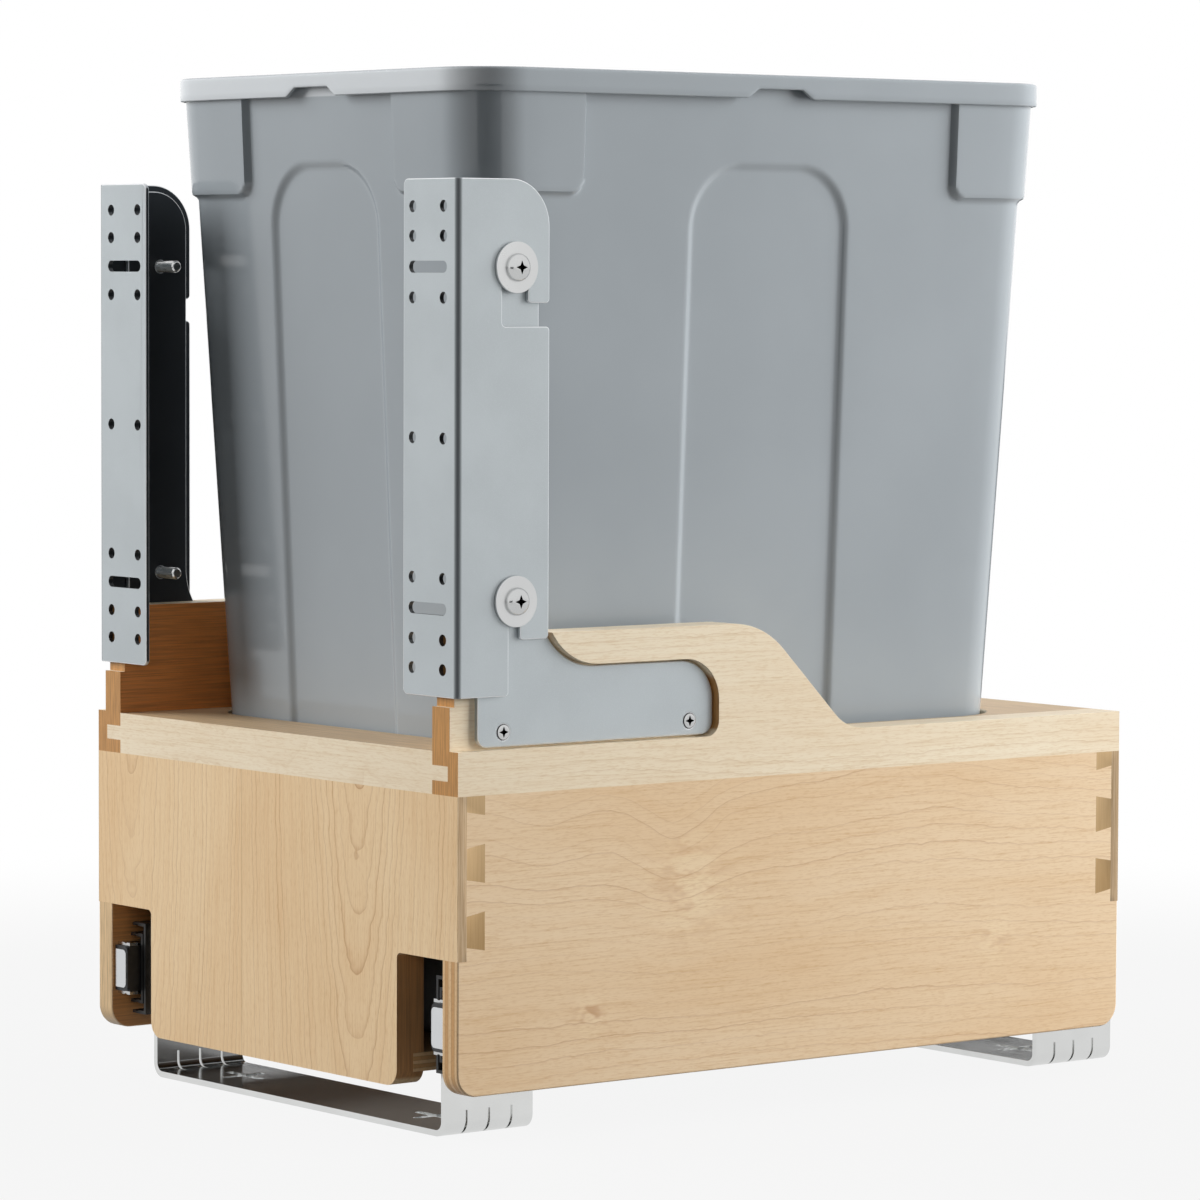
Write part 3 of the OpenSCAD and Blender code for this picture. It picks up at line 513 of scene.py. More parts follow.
def outline_edges(point):
    """Every edge but those of the door holes, which a punch leaves sharp."""
    x, y, z = in_mm(point)
    in_zone = HOLES["inner"] <= abs(x) <= HOLES["outer"] and HOLES["low"] <= z <= HOLES["high"]
    return y > SHEET_T or not in_zone


steel = {}
for side in SIDES:
    for node, body, slot, width in (("door_bracket_", "bracket_", "silver_paint", 0.6),
                                    ("arm_plate_", None, "silver_paint", 0.6),
                                    ("bracket_washers_", None, "bright_screw", 0.3)):
        plate = steel[node + side] = copy_of(node + side)
        edges = outline_edges if node == "door_bracket_" else None
        print(node + side, "edges:", round_edges(plate, width, edges, segments=2, clamp=False))
        finish(plate, body + side if body else "tray", slot, node + side)
for strap in ("front_strap", "rear_strap"):
    steel[strap] = copy_of(strap)
    print(strap, "edges:", round_edges(steel[strap], 0.3, segments=2))
    finish(steel[strap], "base", "zinc", strap)

# %% [markdown]
# ## Screws
# A machine screw has a rolled thread. Its crest climbs one pitch in each turn, so the thread is
# a sheet wrapped round the shank whose radius rises and falls with height and angle together. A
# screw's head is turned: a profile is spun round the axis, and a cross recess is cut out of it
# with a pair of tapered wedges, which leave a star of four points as the real tool's tip does.
# Each kind is made once and copied to its places.

# %% A turned head with a cross recess
def lathe(name, profile, steps=48):
    """Spins a profile of (radius, height) pairs in millimetres round Z."""
    bpy.ops.object.select_all(action="DESELECT")
    bpy.ops.mesh.primitive_circle_add(vertices=steps, radius=profile[0][0] * MM, fill_type="NGON",
                                      location=(0, 0, profile[0][1] * MM))
    part = named(name)
    bpy.ops.object.transform_apply(location=True)
    bpy.ops.object.mode_set(mode="EDIT")
    bpy.ops.mesh.select_mode(type="FACE")
    bpy.ops.mesh.select_all(action="SELECT")
    for (r0, z0), (r1, z1) in zip(profile, profile[1:]):
        bpy.ops.mesh.extrude_region_move(TRANSFORM_OT_translate={"value": (0, 0, (z1 - z0) * MM)})
        bpy.ops.transform.resize(value=(r1 / r0, r1 / r0, 1))
    bpy.ops.mesh.select_all(action="SELECT")
    bpy.ops.mesh.normals_make_consistent(inside=False)
    bpy.ops.object.mode_set(mode="OBJECT")
    return part


def cut_cross(head, size, depth, top, slim=0.4, tip=0.45):
    """Cuts a star-shaped cross recess into a head whose top lies at a height. Each blade is slim
    across, and its tip at the bottom is smaller than its top."""
    for turn in (0, math.pi / 2):
        bpy.ops.object.select_all(action="DESELECT")
        bpy.ops.mesh.primitive_cylinder_add(vertices=4, radius=0.5, depth=1)
        blade = named("blade")
        for v in blade.data.vertices:
            share, height = (1.0, top + 0.4) if v.co.z > 0 else (tip, top - depth)
            v.co = Vector((v.co.x * size * share, v.co.y * size * slim * share, height)) * MM
        blade.data.transform(Matrix.Rotation(turn, 4, "Z"))
        apply_modifier(head, "BOOLEAN", operation="DIFFERENCE", object=blade, solver="EXACT")
        bpy.data.objects.remove(blade)
    round_edges(head, 0.12, segments=2)


def threaded(name, r, length, pitch, depth=0.32, end_share=0.72, chamfer=3):
    """A rolled thread along Z from zero, with a chamfered end at the top."""
    turn, rows = 20, int(length / pitch * 6)

    def point(j, i):
        z, a = length * j / (rows - 1), 2 * math.pi * i / turn
        wave = abs((z / pitch - i / turn) % 1 * 2 - 1)
        taper = min(1.0, end_share + (length - z) / chamfer)
        radius = (r - depth * wave) * taper
        return Vector((radius * math.cos(a), radius * math.sin(a), z)) * MM

    shank = wrap(name, turn, rows, point)
    close_ends(shank, 0.001 * MM)
    return shank


def turned_copy(part, name, axis, where):
    """A copy with its Z axis turned to axis, moved to a place."""
    twin = twin_of(part, name)
    turn = Vector((0, 0, 1)).rotation_difference(Vector(axis)).to_matrix().to_4x4()
    twin.data.transform(Matrix.Translation(where) @ turn)
    return twin


def joined(parts, name):
    """Several parts as one piece."""
    bpy.ops.object.select_all(action="DESELECT")
    for part in parts:
        part.select_set(True)
    bpy.context.view_layer.objects.active = parts[0]
    bpy.ops.object.join()
    return named(name)


print("helpers for turned heads, recesses and threads")

# %% [markdown]
# The clamp screws come first. Their pan heads press the large washers on the brackets from
# outside, and their threaded ends stand out on the inside, where the photograph shows them.

# %% Clamp screws of the brackets
stud_y, stud_heights = 33.0, (250.4, 403.6)
head_x, washer_x = 151.4, 151.3
pan = lathe("pan_head", [(2.9, 0), (6.3, 0), (6.5, 0.25), (6.5, 0.75), (6.25, 1.5), (5.6, 2.3), (4.6, 2.95),
                         (3.2, 3.3), (1.5, 3.4), (0.05, 3.4)])
cut_cross(pan, 7.2, 2.4, 3.4)
stud = threaded("stud", 3.0, 22.0, 1.0)
screws = []
for side, sign in SIDES.items():
    parts = []
    for z in stud_heights:
        parts.append(turned_copy(pan, "head", (sign, 0, 0), place(sign * head_x, stud_y, z)))
        parts.append(turned_copy(stud, "shank", (-sign, 0, 0), place(sign * washer_x, stud_y, z)))
    clamp = joined(parts, "clamp_screws_" + side)
    screws.append(finish(clamp, "tray", "bright_screw", "bracket_screws_" + side))
    print("clamp screws:", side, len(clamp.data.polygons), "faces")

# %% [markdown]
# The arm plates are held by countersunk screws, whose cone sits in the plate so that the head is
# almost flush. Only the turned head can be seen, so the shank stays in the wood unmodelled.

# %% Countersunk screws of the arm plates
plate_x, sunk_places, sunk_z = 147.2, (28.7, 138.9), 190.1
sunk = lathe("sunk_head", [(1.9, -2.1), (3.55, -0.35), (3.7, -0.15), (3.7, 0.05), (3.45, 0.2), (2.4, 0.32),
                           (0.05, 0.36)])
cut_cross(sunk, 6.0, 1.7, 0.36)
for side, sign in SIDES.items():
    parts = [turned_copy(sunk, "head", (sign, 0, 0), place(sign * plate_x, y, sunk_z)) for y in sunk_places]
    plate_screws = joined(parts, "plate_screws_" + side)
    screws.append(finish(plate_screws, "tray", "bright_screw", "arm_screws_" + side))
for spare in (pan, stud, sunk):
    bpy.data.objects.remove(spare)
print(len(screws), "pairs of screws placed")

# %% [markdown]
# ## Shader arithmetic
# Patterns are sums and products of coordinates and noise. A small class wraps a node socket, so
# that Python's own signs add the Math nodes, and one method adds any other node.

# %% Sockets that can be added and multiplied
class Value:
    """A number that comes out of a shader node."""

    def __init__(self, owner, socket):
        self.owner, self.socket = owner, socket

    def math(self, operation, other=0.0, swap=False, clamp=False):
        """Adds one Math node. swap puts the other number first."""
        values = [other, self] if swap else [self, other]
        return self.owner.node("Math", dict(operation=operation, use_clamp=clamp), dict(enumerate(values)))

    def __add__(self, other):
        return self.math("ADD", other)

    def __sub__(self, other):
        return self.math("SUBTRACT", other)

    def __rsub__(self, other):
        return self.math("SUBTRACT", other, swap=True)

    def __mul__(self, other):
        return self.math("MULTIPLY", other)

    def __truediv__(self, other):
        return self.math("DIVIDE", other)

    def __rtruediv__(self, other):
        return self.math("DIVIDE", other, swap=True)

    def __pow__(self, other):
        return self.math("POWER", other)

    def __rpow__(self, other):
        return self.math("POWER", other, swap=True)

    def __gt__(self, other):
        return self.math("GREATER_THAN", other)

    def __lt__(self, other):
        return self.math("LESS_THAN", other)

    def __abs__(self):
        return self.math("ABSOLUTE")

    __radd__, __rmul__ = __add__, __mul__

    def larger(self, other):
        return self.math("MAXIMUM", other)

    def smaller(self, other):
        return self.math("MINIMUM", other)

    def between(self, low, high):
        """0 below low, 1 above high, and a soft slope in between."""
        return self.owner.node("MapRange", dict(interpolation_type="SMOOTHSTEP"), {0: self, 1: low, 2: high})


print("numbers between nodes can now be added, multiplied and compared")

# %% [markdown]
# Every node is added in the same way: its kind, its settings, the values or links of its sockets,
# and the output that is wanted. A material starts from the Principled surface and reads its
# place in Object coordinates, because these stay with the piece when it moves on its joint.

# %% Node trees and materials
class Nodes:
    """A node tree and a short way to add nodes to it."""

    def __init__(self, tree):
        self.tree = tree

    def node(self, kind, settings, values, out=0):
        """Adds a node: its settings first, then its sockets. Gives back one output."""
        new = self.tree.nodes.new("ShaderNode" + kind)
        for key, value in settings.items():
            setattr(new, key, value)
        for key, value in values.items():
            socket = new.inputs[key]
            if isinstance(value, Value):
                self.tree.links.new(value.socket, socket)
            else:
                socket.default_value = (*value, 1) if socket.type == "RGBA" and len(value) == 3 else value
        return new if out is None else Value(self, new.outputs[out])


class Shader(Nodes):
    """A material with a Principled surface, and the places and normals that patterns need."""

    def __init__(self, name, **constants):
        self.material = bpy.data.materials.new(name)
        self.material.use_nodes = True
        super().__init__(self.material.node_tree)
        self.surface = self.tree.nodes["Principled BSDF"]
        for key, value in constants.items():
            self.surface.inputs[key.replace("_", " ")].default_value = value
        self.where = self.node("TexCoord", {}, {}, "Object")
        split = self.node("SeparateXYZ", {}, {0: self.where}, None)
        self.x, self.y, self.z = (Value(self, out) for out in split.outputs)
        normal = self.node("NewGeometry", {}, {}, "Normal")
        split = self.node("SeparateXYZ", {}, {0: normal}, None)
        self.nx, self.ny, self.nz = (Value(self, out) for out in split.outputs)
        self.facing = dict(x=self.nx, y=self.ny, z=self.nz)

    def point(self, x, y, z):
        """A place made of three numbers."""
        return self.node("CombineXYZ", {}, {0: x, 1: y, 2: z})

    def noise(self, where, scale=1.0, detail=2.0, rough=0.5):
        """A soft random pattern from about 0.3 to 0.7."""
        values = {"Vector": where, "Scale": scale, "Detail": detail, "Roughness": rough}
        return self.node("TexNoise", {}, values)

    def mix(self, factor, first, second):
        """One colour laid over another."""
        return self.node("Mix", dict(data_type="RGBA"), {0: factor, 6: first, 7: second}, 2)

    def feed(self, **values):
        """Links values to the surface's sockets by name."""
        for key, value in values.items():
            self.tree.links.new(value.socket, self.surface.inputs[key.replace("_", " ")])

    def bump(self, height, distance, strength):
        """Fine relief, which only bends the light."""
        values = {"Height": height, "Distance": distance, "Strength": strength}
        self.feed(Normal=self.node("Bump", {}, values, "Normal"))


def linear(r, g, b):
    """A colour as a paint chart gives it, from 0 to 255, in the linear values of light."""
    return tuple(((c / 255 + 0.055) / 1.055) ** 2.4 if c > 10 else c / 255 / 12.92 for c in (r, g, b))


def paint(material, *pieces):
    """Gives pieces one material on all their slots."""
    for piece in pieces:
        if not piece.data.materials:
            piece.data.materials.append(material)
        for i in range(len(piece.data.materials)):
            piece.material_slots[i].link = "OBJECT"
            piece.material_slots[i].material = material


print("mid grey in linear values:", [round(c, 3) for c in linear(128, 128, 128)])

# %% [markdown]
# ## Maple
# Maple is pale and close-grained, under a clear lacquer. Its finest pattern comes first: fibres
# and short flecks, long along the grain and very narrow across it. Each board names its own axes
# for that, as a joiner marks the direction of the grain on every piece before cutting.

# %% A board and its grain
class Board(Shader):
    """A lacquered maple surface. grain names the axes along, across and through the board."""

    def __init__(self, name, grain):
        super().__init__(name, IOR=1.42)
        self.axes = dict(x=self.x, y=self.y - front_face, z=self.z)
        self.along, self.across, self.through = (self.axes[c] for c in grain)
        self.seed = sum(map(ord, name)) * 0.37
        self.fibre = self.drawn_out(26, 1000, 2.0)
        self.fleck = self.drawn_out(240, 1700, 1.0)

    def drawn_out(self, lengthwise, crosswise, detail):
        """A pattern that is stretched along the grain."""
        across = self.across * crosswise + self.seed
        where = self.point(self.along * lengthwise, across, self.through * crosswise)
        return self.noise(where, detail=detail, rough=0.6)


print("a fibre is about", round(1000 / 26), "mm long and 1 mm wide")

# %% [markdown]
# Thin brown lines show where each year's growth ends. A board is a slice through those rings: the
# lines are even where the slice passes far from the tree's heart, and run together in pointed
# arches where it passes near it. So the pattern is worked out as in a tree. The distance from a
# heart line that lies off the board gives the ring, and only the last part of a year is dark.

# %% Growth rings
def bell(value, middle, width):
    """1 at a place and falling softly to 0 on both sides, in millimetres."""
    t = (value - middle * MM) / (width * MM)
    return (t * t * -1).math("EXPONENT")


def heart_lines(s, heart, joints):
    """The heart line's place across and through, and the number of the glued board."""
    number = s.across * 0
    centre, depth = number + heart[0] * MM, number + heart[1] * MM
    last = heart
    for at, *own in joints:
        beyond = s.across > at * MM
        centre = beyond * ((own[0] - last[0]) * MM) + centre
        depth = beyond * ((own[1] - last[1]) * MM) + depth
        number = beyond + number
        last = own
    return centre, depth, number


def rings(s, heart, ring, sharp, wander, joints, dips):
    """The dark ends of the years, a slow change from year to year, and the board's number.
    A dip bends the rings at a place, as a knot nearby does."""
    centre, depth, number = heart_lines(s, heart, joints)
    slow = s.noise(s.point(s.along * 6 + s.seed, s.across * 15 + number * 3, s.through * 15)) - 0.5
    wave = s.noise(s.point(s.along * 70, s.across * 34 - s.seed, s.through * 34 + number)) - 0.5
    away = s.across - centre + slow * (wander * 2 * MM)
    for at, low, width, foot, top in dips:
        away = away + bell(s.along, at, width) * s.across.between(foot * MM, top * MM) * (low * MM)
    deep = s.through + s.along * heart[2] - depth
    radius = (away * away + deep * deep) ** 0.5 + wave * (3.4 * MM)
    year = radius / (ring * MM)
    part = year.math("FRACT")
    strength = s.noise(s.point(year * 0.43, s.along * 2.4, number)).between(0.4, 0.68)
    dark_ends = (part ** sharp) * (1 - part.between(0.97, 1.0)) * (0.2 + strength * 0.8)
    change = s.noise(s.point(year * 0.8, s.along * 1.5, number), detail=1.0)
    return dark_ends, change, number


print("growth rings are ready")

# %% [markdown]
# Under the lines lie slow patches of warmer wood. Near a knot the fibres lie at a slant, which
# shows as a swirl of bright and dark streaks. Where a panel is glued up from two boards, a faint
# line runs between them. Laying these one over the other keeps each of them easy to adjust.

# %% Colour of the wood
def wood_colour(s, growth, swirls, base, warm, line, dark, speck):
    """Patches, swirls, fibres and the lines of growth, one over the other."""
    dark_ends, change, number = growth
    patch = s.noise(s.point(s.along * 6 + s.seed, s.across * 12, s.through * 12 + number * 9))
    share = patch.between(0.3, 0.72) * 0.5 + change.between(0.35, 0.7) * 0.22
    colour = s.mix(share, linear(*base), linear(*warm))
    bright = linear(*(min(c * 1.06, 252) for c in base))
    for at, high, reach, low in swirls:
        near_it = bell(s.along, at, reach) * bell(s.across, high, reach)
        slant = s.point(s.along * 60 + s.across * 90, s.across * 130 - s.along * 30, s.through * 30)
        streaks = s.noise(slant, rough=0.6)
        colour = s.mix(near_it * streaks.between(0.45, 0.62) * 0.6, colour, bright)
        colour = s.mix(near_it * (1 - streaks.between(0.36, 0.5)) * low, colour, linear(*line))
    fine = (s.fleck.between(0.48, 0.7) * 0.26 + s.fibre.between(0.48, 0.72) * 0.3) * speck
    colour = s.mix(fine, colour, linear(warm[0] * 0.9, warm[1] * 0.84, warm[2] * 0.74))
    return s.mix(dark_ends * 0.75 * dark, colour, linear(*line))


def glue_lines(s, colour, joints):
    """A faint line where two boards are glued together."""
    for at, *_ in joints:
        gap = abs(s.across - at * MM)
        colour = s.mix((1 - gap.between(0.1 * MM, 0.6 * MM)) * 0.3, colour, linear(168, 132, 92))
    return colour


print("wood colours are ready")

# %% [markdown]
# Some faces of a board look different. Inner faces that lie in shade get a darker, warmer tint as
# painted shade, and the platform's top gets a tan tint. A sawn end shows open pores, a plywood edge
# shows its layers, and the end panels' dovetails reach through the side panels with their sawn ends
# outwards. Each is one function that lays its colour over a board where a face looks a certain way,
# so a board is given only those that it needs.

# %% Faces that look different
def tint_and_painted_shade(s, colour, axis, sign, tint):
    """A face that looks along an axis gets a tint: painted shade on inner faces, a tan on the platform's
    top.
    """
    facing = (s.facing[axis] * sign).between(0.7, 0.9)
    streak = s.mix(s.fibre.between(0.3, 0.7), linear(*tint), linear(*(c * 0.84 for c in tint)))
    return s.mix(facing * 0.92, colour, streak)


def sawn_end(s, colour, axis, tint):
    """The pores of a board's sawn end."""
    facing = abs(s.facing[axis]).between(0.75, 0.9)
    pore = s.noise(s.point(s.across * 50, s.through * 1150, s.along * 60), 1.0, 3.0, 0.65)
    sawn = s.mix(pore.between(0.35, 0.7), linear(*tint), linear(*(c * 0.82 for c in tint)))
    return s.mix(facing, colour, sawn)


def ply_edge(s, colour, axis, start, thick):
    """The layers of a plywood edge, each so thick, counted along an axis from a face."""
    layer = abs(s.axes[axis] - start * MM) / (thick * MM)
    odd = (layer * 0.5).math("FRACT").between(0.44, 0.56)
    glue = 1 - (0.5 - abs(layer.math("FRACT") - 0.5)).between(0.02, 0.12)
    pore = s.noise(s.point(s.x * 700, s.y * 700, s.z * 700))
    edge = s.mix(odd, linear(222, 187, 142), linear(200, 156, 106))
    edge = s.mix(glue * 0.55, edge, linear(146, 104, 64))
    edge = s.mix(pore.between(0.45, 0.7) * 0.2, edge, linear(160, 116, 74))
    return s.mix(1 - abs(s.facing[axis]).between(0.55, 0.8), colour, edge)


def dovetails(s, colour):
    """The sawn ends of the dovetails in the side panels' faces, and the laps at their corners."""
    y, soft = s.axes["y"], 0.2 * MM
    lap = (1 - (y - lap_t * MM).between(0, soft)) + (y - (tray_d - lap_t) * MM).between(0, soft)
    on_side = abs(s.x).between((half_w - 0.4) * MM, (half_w - 0.2) * MM)
    streak = s.noise(s.point(s.x * 300, y * 1500, s.z * 45))
    share = (1 - s.z.between(85 * MM, 150 * MM)) * 0.8 + streak.between(0.3, 0.7) * 0.3
    tail = s.mix(share, linear(208, 176, 132), linear(184, 150, 104))
    strip = s.mix(streak.between(0.35, 0.65), linear(206, 180, 146), linear(182, 152, 116))
    colour = s.mix(on_side, colour, tail)
    return s.mix(on_side * lap.smaller(1.0), colour, strip)


print("inner faces, sawn ends, plywood edges and dovetails are ready")

# %% [markdown]
# Each board now gets its own place in the tree. The numbers after the grain are the heart line's
# place across and through the board and its slope along it, then the width of a year, how sharp
# its dark end is and how far the lines wander. The tints follow the photograph, where the rails
# and the platform are paler than the panels.

# %% Finishes of the boards
def maple(name, grain, heart, ring, sharp, wander, faces, joints=(), dips=(), swirls=(), *,
          base, warm, line, dark=1.0, speck=1.0):
    """A clear lacquered maple board. Each further board is glued on at a joint, with its own heart."""
    s = Board(name, grain)
    growth = rings(s, heart, ring, sharp, wander, joints, dips)
    colour = wood_colour(s, growth, swirls, base, warm, line, dark, speck)
    colour = glue_lines(s, colour, joints)
    for lay_over, *measures in faces:
        colour = lay_over(s, colour, *measures)
    s.feed(Base_Color=colour, Roughness=0.46 + growth[0] * 0.12 + (s.fibre - 0.5) * 0.12)
    s.bump(s.fibre * 0.5 + s.fleck * 0.3 - growth[0] * 0.2, 0.05 * MM, 0.6)
    return s.material


PALE = dict(base=(250, 236, 210), warm=(240, 218, 186), line=(202, 164, 118))
PANEL = dict(base=(245, 217, 176), warm=(233, 197, 151), line=(160, 102, 52), dark=0.95)
SIDE = dict(base=(243, 217, 182), warm=(233, 199, 157), line=(164, 100, 52), dark=0.9)
PLY = dict(base=(176, 144, 108), warm=(160, 126, 90), line=(130, 98, 66))
wood = {
    "side_panel_right": maple("maple_side_right", "yzx", (-210, 30, 0.02), 6.6, 18, 10,
                              [(ply_edge, "x", half_w, 2.4)],
                              dips=((128, 17, 26, 62, 132), (50, 9, 24, 95, 150), (300, -9, 90, 40, 160)),
                              swirls=((137, 112, 24, 0.2), (77, 54, 9, 0.5), (331, 72, 10, 0.25)), **SIDE),
    "side_panel_left": maple("maple_side_left", "yzx", (-180, -40, -0.03), 6.0, 13, 10,
                             [(tint_and_painted_shade, "x", 1, (205, 142, 80)), (sawn_end, "y", (228, 196, 152))],
                             **SIDE),
    "front_panel": maple("maple_front", "zxy", (-120, 30, 0.11), 3.3, 9, 4.5,
                         [(tint_and_painted_shade, "x", 1, (186, 134, 82)), (dovetails,)], ((-24, 72, 34),), **PANEL),
    "back_panel": maple("maple_back", "zxy", (96, 28, 0.1), 3.6, 9, 4.5,
                        [(dovetails,)], ((6, -84, 34),), **PANEL),
    "platform": maple("maple_platform", "xyz", (-190, 200, 0.03), 3.2, 9, 6,
                      [(tint_and_painted_shade, "z", 1, (214, 182, 142))], dark=0.6, speck=0.9, **PALE),
    "side_rail_right": maple("maple_rail_right", "yzx", (-160, -60, 0.02), 4.2, 10, 7,
                             [(sawn_end, "y", (206, 152, 92))], dark=0.7, **PALE),
    "side_rail_left": maple("maple_rail_left", "yzx", (-190, 70, -0.02), 4.0, 10, 7,
                            [(tint_and_painted_shade, "x", 1, (238, 146, 60)), (sawn_end, "y", (206, 154, 98))],
                            dark=0.9, **PALE),
    "bottom_board": maple("maple_ply_bottom", "yxz", (300, -90, 0.04), 5.0, 9, 9,
                          [(ply_edge, "z", 29, 1.8)], **PLY),
}
for name, board in boards.items():
    paint(wood[name], board)
print(len(wood), "maple finishes")

# %% [markdown]
# ## Moulded plastic
# The bin is a grey polypropylene with a smooth mould finish: it mirrors softly. A very slow wave
# in the wall bends the reflections as real thin walls do, and a fine grain breaks the shine. The
# foot is slightly scuffed, and the front of the rim has a painted highlight, a paler band.

# %% Bin plastic
s = Shader("bin_plastic_moulded", IOR=1.5)
cloud = s.noise(s.where, 9.0, 3.0)
fine = s.noise(s.where, 1900.0)
scuff = s.noise(s.where, 160.0, 4.0, 0.7).between(0.6, 0.78)
foot = 1 - s.z.between(40 * MM, 120 * MM)
skirt_foot = BIN["top"] - BIN["skirt"]
# Painted highlight: the front of the rim's skirt is painted paler.
rim = s.z.between((skirt_foot - 0.3) * MM, (skirt_foot + 0.7) * MM) * (s.ny * -1).between(0.5, 0.95)
colour = s.mix(cloud.between(0.3, 0.7), linear(159, 166, 171), linear(164, 171, 176))
colour = s.mix(scuff * (0.05 + foot * 0.2), colour, linear(172, 178, 182))
colour = s.mix(rim * 0.75, colour, linear(226, 230, 233))
s.feed(Base_Color=colour, Roughness=0.09 + (cloud - 0.5) * 0.03 + scuff * 0.05)
s.bump(fine * 0.4 + cloud * 6.0, 0.04 * MM, 0.8)
paint(s.material, moulded_bin)
print("bin finish:", s.material.name)

# %% [markdown]
# ## Metals
# The brackets have a satin silver paint with tiny bright flakes. Straps and slides are bright zinc
# with drawing lines along the sheet, and the screws are brighter still. One function makes them
# all from a colour, a roughness and a fine pattern, and a further function can lay painted light
# and shade over it for one kind of piece.

# %% A metal finish
DRAWN = dict(x=(30, 1800, 1800), y=(1800, 30, 1800))
PAINTED = (900, 900, 900)


def metal(name, colour, rough, metallic=1.0, grain=None, flakes=0.0, wear=0.1, shade=None):
    """A metal with drawing lines along an axis, or with the flakes of a paint."""
    s = Shader(name, Metallic=metallic)
    cloud = s.noise(s.where, 30.0, 3.0)
    spot = s.noise(s.where, 2600.0, 1.0)
    fine_x, fine_y, fine_z = DRAWN.get(grain, PAINTED)
    drawn = s.noise(s.point(s.x * fine_x, s.y * fine_y, s.z * fine_z))
    bright = tuple(min(c * 1.18, 1.0) for c in colour)
    dim = tuple(c * 0.86 for c in colour)
    base = s.mix(cloud.between(0.3, 0.7) * 0.4, colour, dim)
    base = s.mix(spot.between(0.5, 0.7) * flakes, base, bright)
    base = s.mix((drawn - 0.5).math("MULTIPLY", wear * 3, clamp=True), base, bright)
    if shade:
        base = shade(s, base)
    s.feed(Base_Color=base, Roughness=rough + (cloud - 0.5) * 0.1 + (drawn - 0.5) * wear)
    s.bump(drawn * 0.7 + spot * 0.3, 0.02 * MM, 0.6)
    return s.material


print("drawing lines along", ", ".join(DRAWN))

# %% [markdown]
# The brackets get painted light: a painted highlight along the edges, painted shade in the bend
# and in the punched holes, and the side towards the bin painted nearly black as shade. The straps
# get painted shade inside their legs, and the cross recesses and the gap round a countersunk head
# are painted dark as shade. All of these are told apart by place and by the way a face looks, so
# that they stay in place when a bracket is adjusted.

# %% Painted light and shade on brackets, straps and screws
wing_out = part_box("door_bracket_right")[1].x
BEND_R = 2.7 * MM


def looks_inwards(s, far_out=100):
    """1 where a face far out on a side looks towards the unit's middle."""
    return (s.x / (far_out * MM) * s.nx * -1).between(0.7, 0.9)


def within(value, low, high, soft=0.2):
    """1 between two places in millimetres, with soft ends inside them."""
    return value.between(low * MM, (low + soft) * MM) * (1 - value.between((high - soft) * MM, high * MM))


def bracket_painted_light(s, base):
    """Painted shade on the inner face, in the punched holes and in the bend, and a painted highlight along
    the edges.
    """
    y, reach = s.y - front_face, abs(s.x)
    flat = abs(s.nx).larger(abs(s.ny)).larger(abs(s.nz)).between(0.9, 0.99)
    turn = ((reach - (wing_out - BEND_R)) / BEND_R).larger(0.0).smaller(1.0)
    rest = ((BEND_R - y) / BEND_R).larger(0.0).smaller(1.0)
    bend = (turn * rest * 2).smaller(1.0)
    wall = y.between(0.04 * MM, 0.2 * MM) * (1 - y.between(2.2 * MM, 2.35 * MM))
    hole = wall * (1 - abs(s.ny).between(0.1, 0.3)) * within(reach, HOLES["inner"], HOLES["outer"])
    hole = hole * within(s.z, HOLES["low"], HOLES["high"])
    # Painted shade: the face towards the unit's middle is nearly black.
    base = s.mix(looks_inwards(s), base, linear(52, 55, 59))
    # Painted highlight along the rounded edges.
    base = s.mix((1 - flat) * (1 - bend.between(0.02, 0.1)), base, linear(246, 248, 250))
    # Painted shade on the walls of the punched holes.
    base = s.mix(hole * 0.92, base, linear(40, 42, 44))
    # Painted shade in the bend.
    return s.mix(bend * 0.9, base, linear(62, 66, 70))


def strap_painted_shade(s, base):
    """Painted shade on the inside of the legs."""
    return s.mix(looks_inwards(s) * 0.8, base, linear(104, 104, 104))


def recess_painted_shade(s, base):
    """Painted shade in the cross recesses and in the gap round a countersunk head."""
    y, reach = s.y - front_face, abs(s.x)
    steep = 1 - abs(s.nx).between(0.8, 0.93)
    up = abs(s.z - stud_heights[0] * MM).smaller(abs(s.z - stud_heights[1] * MM))
    off = ((y - stud_y * MM) ** 2 + up * up) ** 0.5
    above = reach.between((head_x + 0.3) * MM, (head_x + 0.5) * MM)
    below = 1 - reach.between((head_x + 2.8) * MM, (head_x + 3.1) * MM)
    pan_cross = (1 - off.between(3.7 * MM, 4.0 * MM)) * above * below.larger(steep)
    along = abs(y - sunk_places[0] * MM).smaller(abs(y - sunk_places[1] * MM))
    off = (along * along + (s.z - sunk_z * MM) ** 2) ** 0.5
    below = 1 - reach.between((plate_x + 0.08) * MM, (plate_x + 0.16) * MM)
    sunk_cross = (1 - off.between(3.1 * MM, 3.3 * MM)) * below.larger(steep)
    gap = off.between(3.4 * MM, 3.5 * MM)
    near_it = (1 - off.between(6.0 * MM, 6.1 * MM)) * within(reach, plate_x - 2.2, plate_x + 1.9, 0.1)
    # Painted shade: the recesses and the gap are painted nearly black.
    return s.mix(pan_cross.larger((sunk_cross + gap) * near_it), base, linear(20, 19, 18))


print("bend of the brackets at", round(wing_out / MM, 1), "mm from the middle")

# %% [markdown]
# The steel pieces now get their finishes. Large washers are plated a little duller than the
# screws that hold them, and the slides' end caps carry a small bright plate.

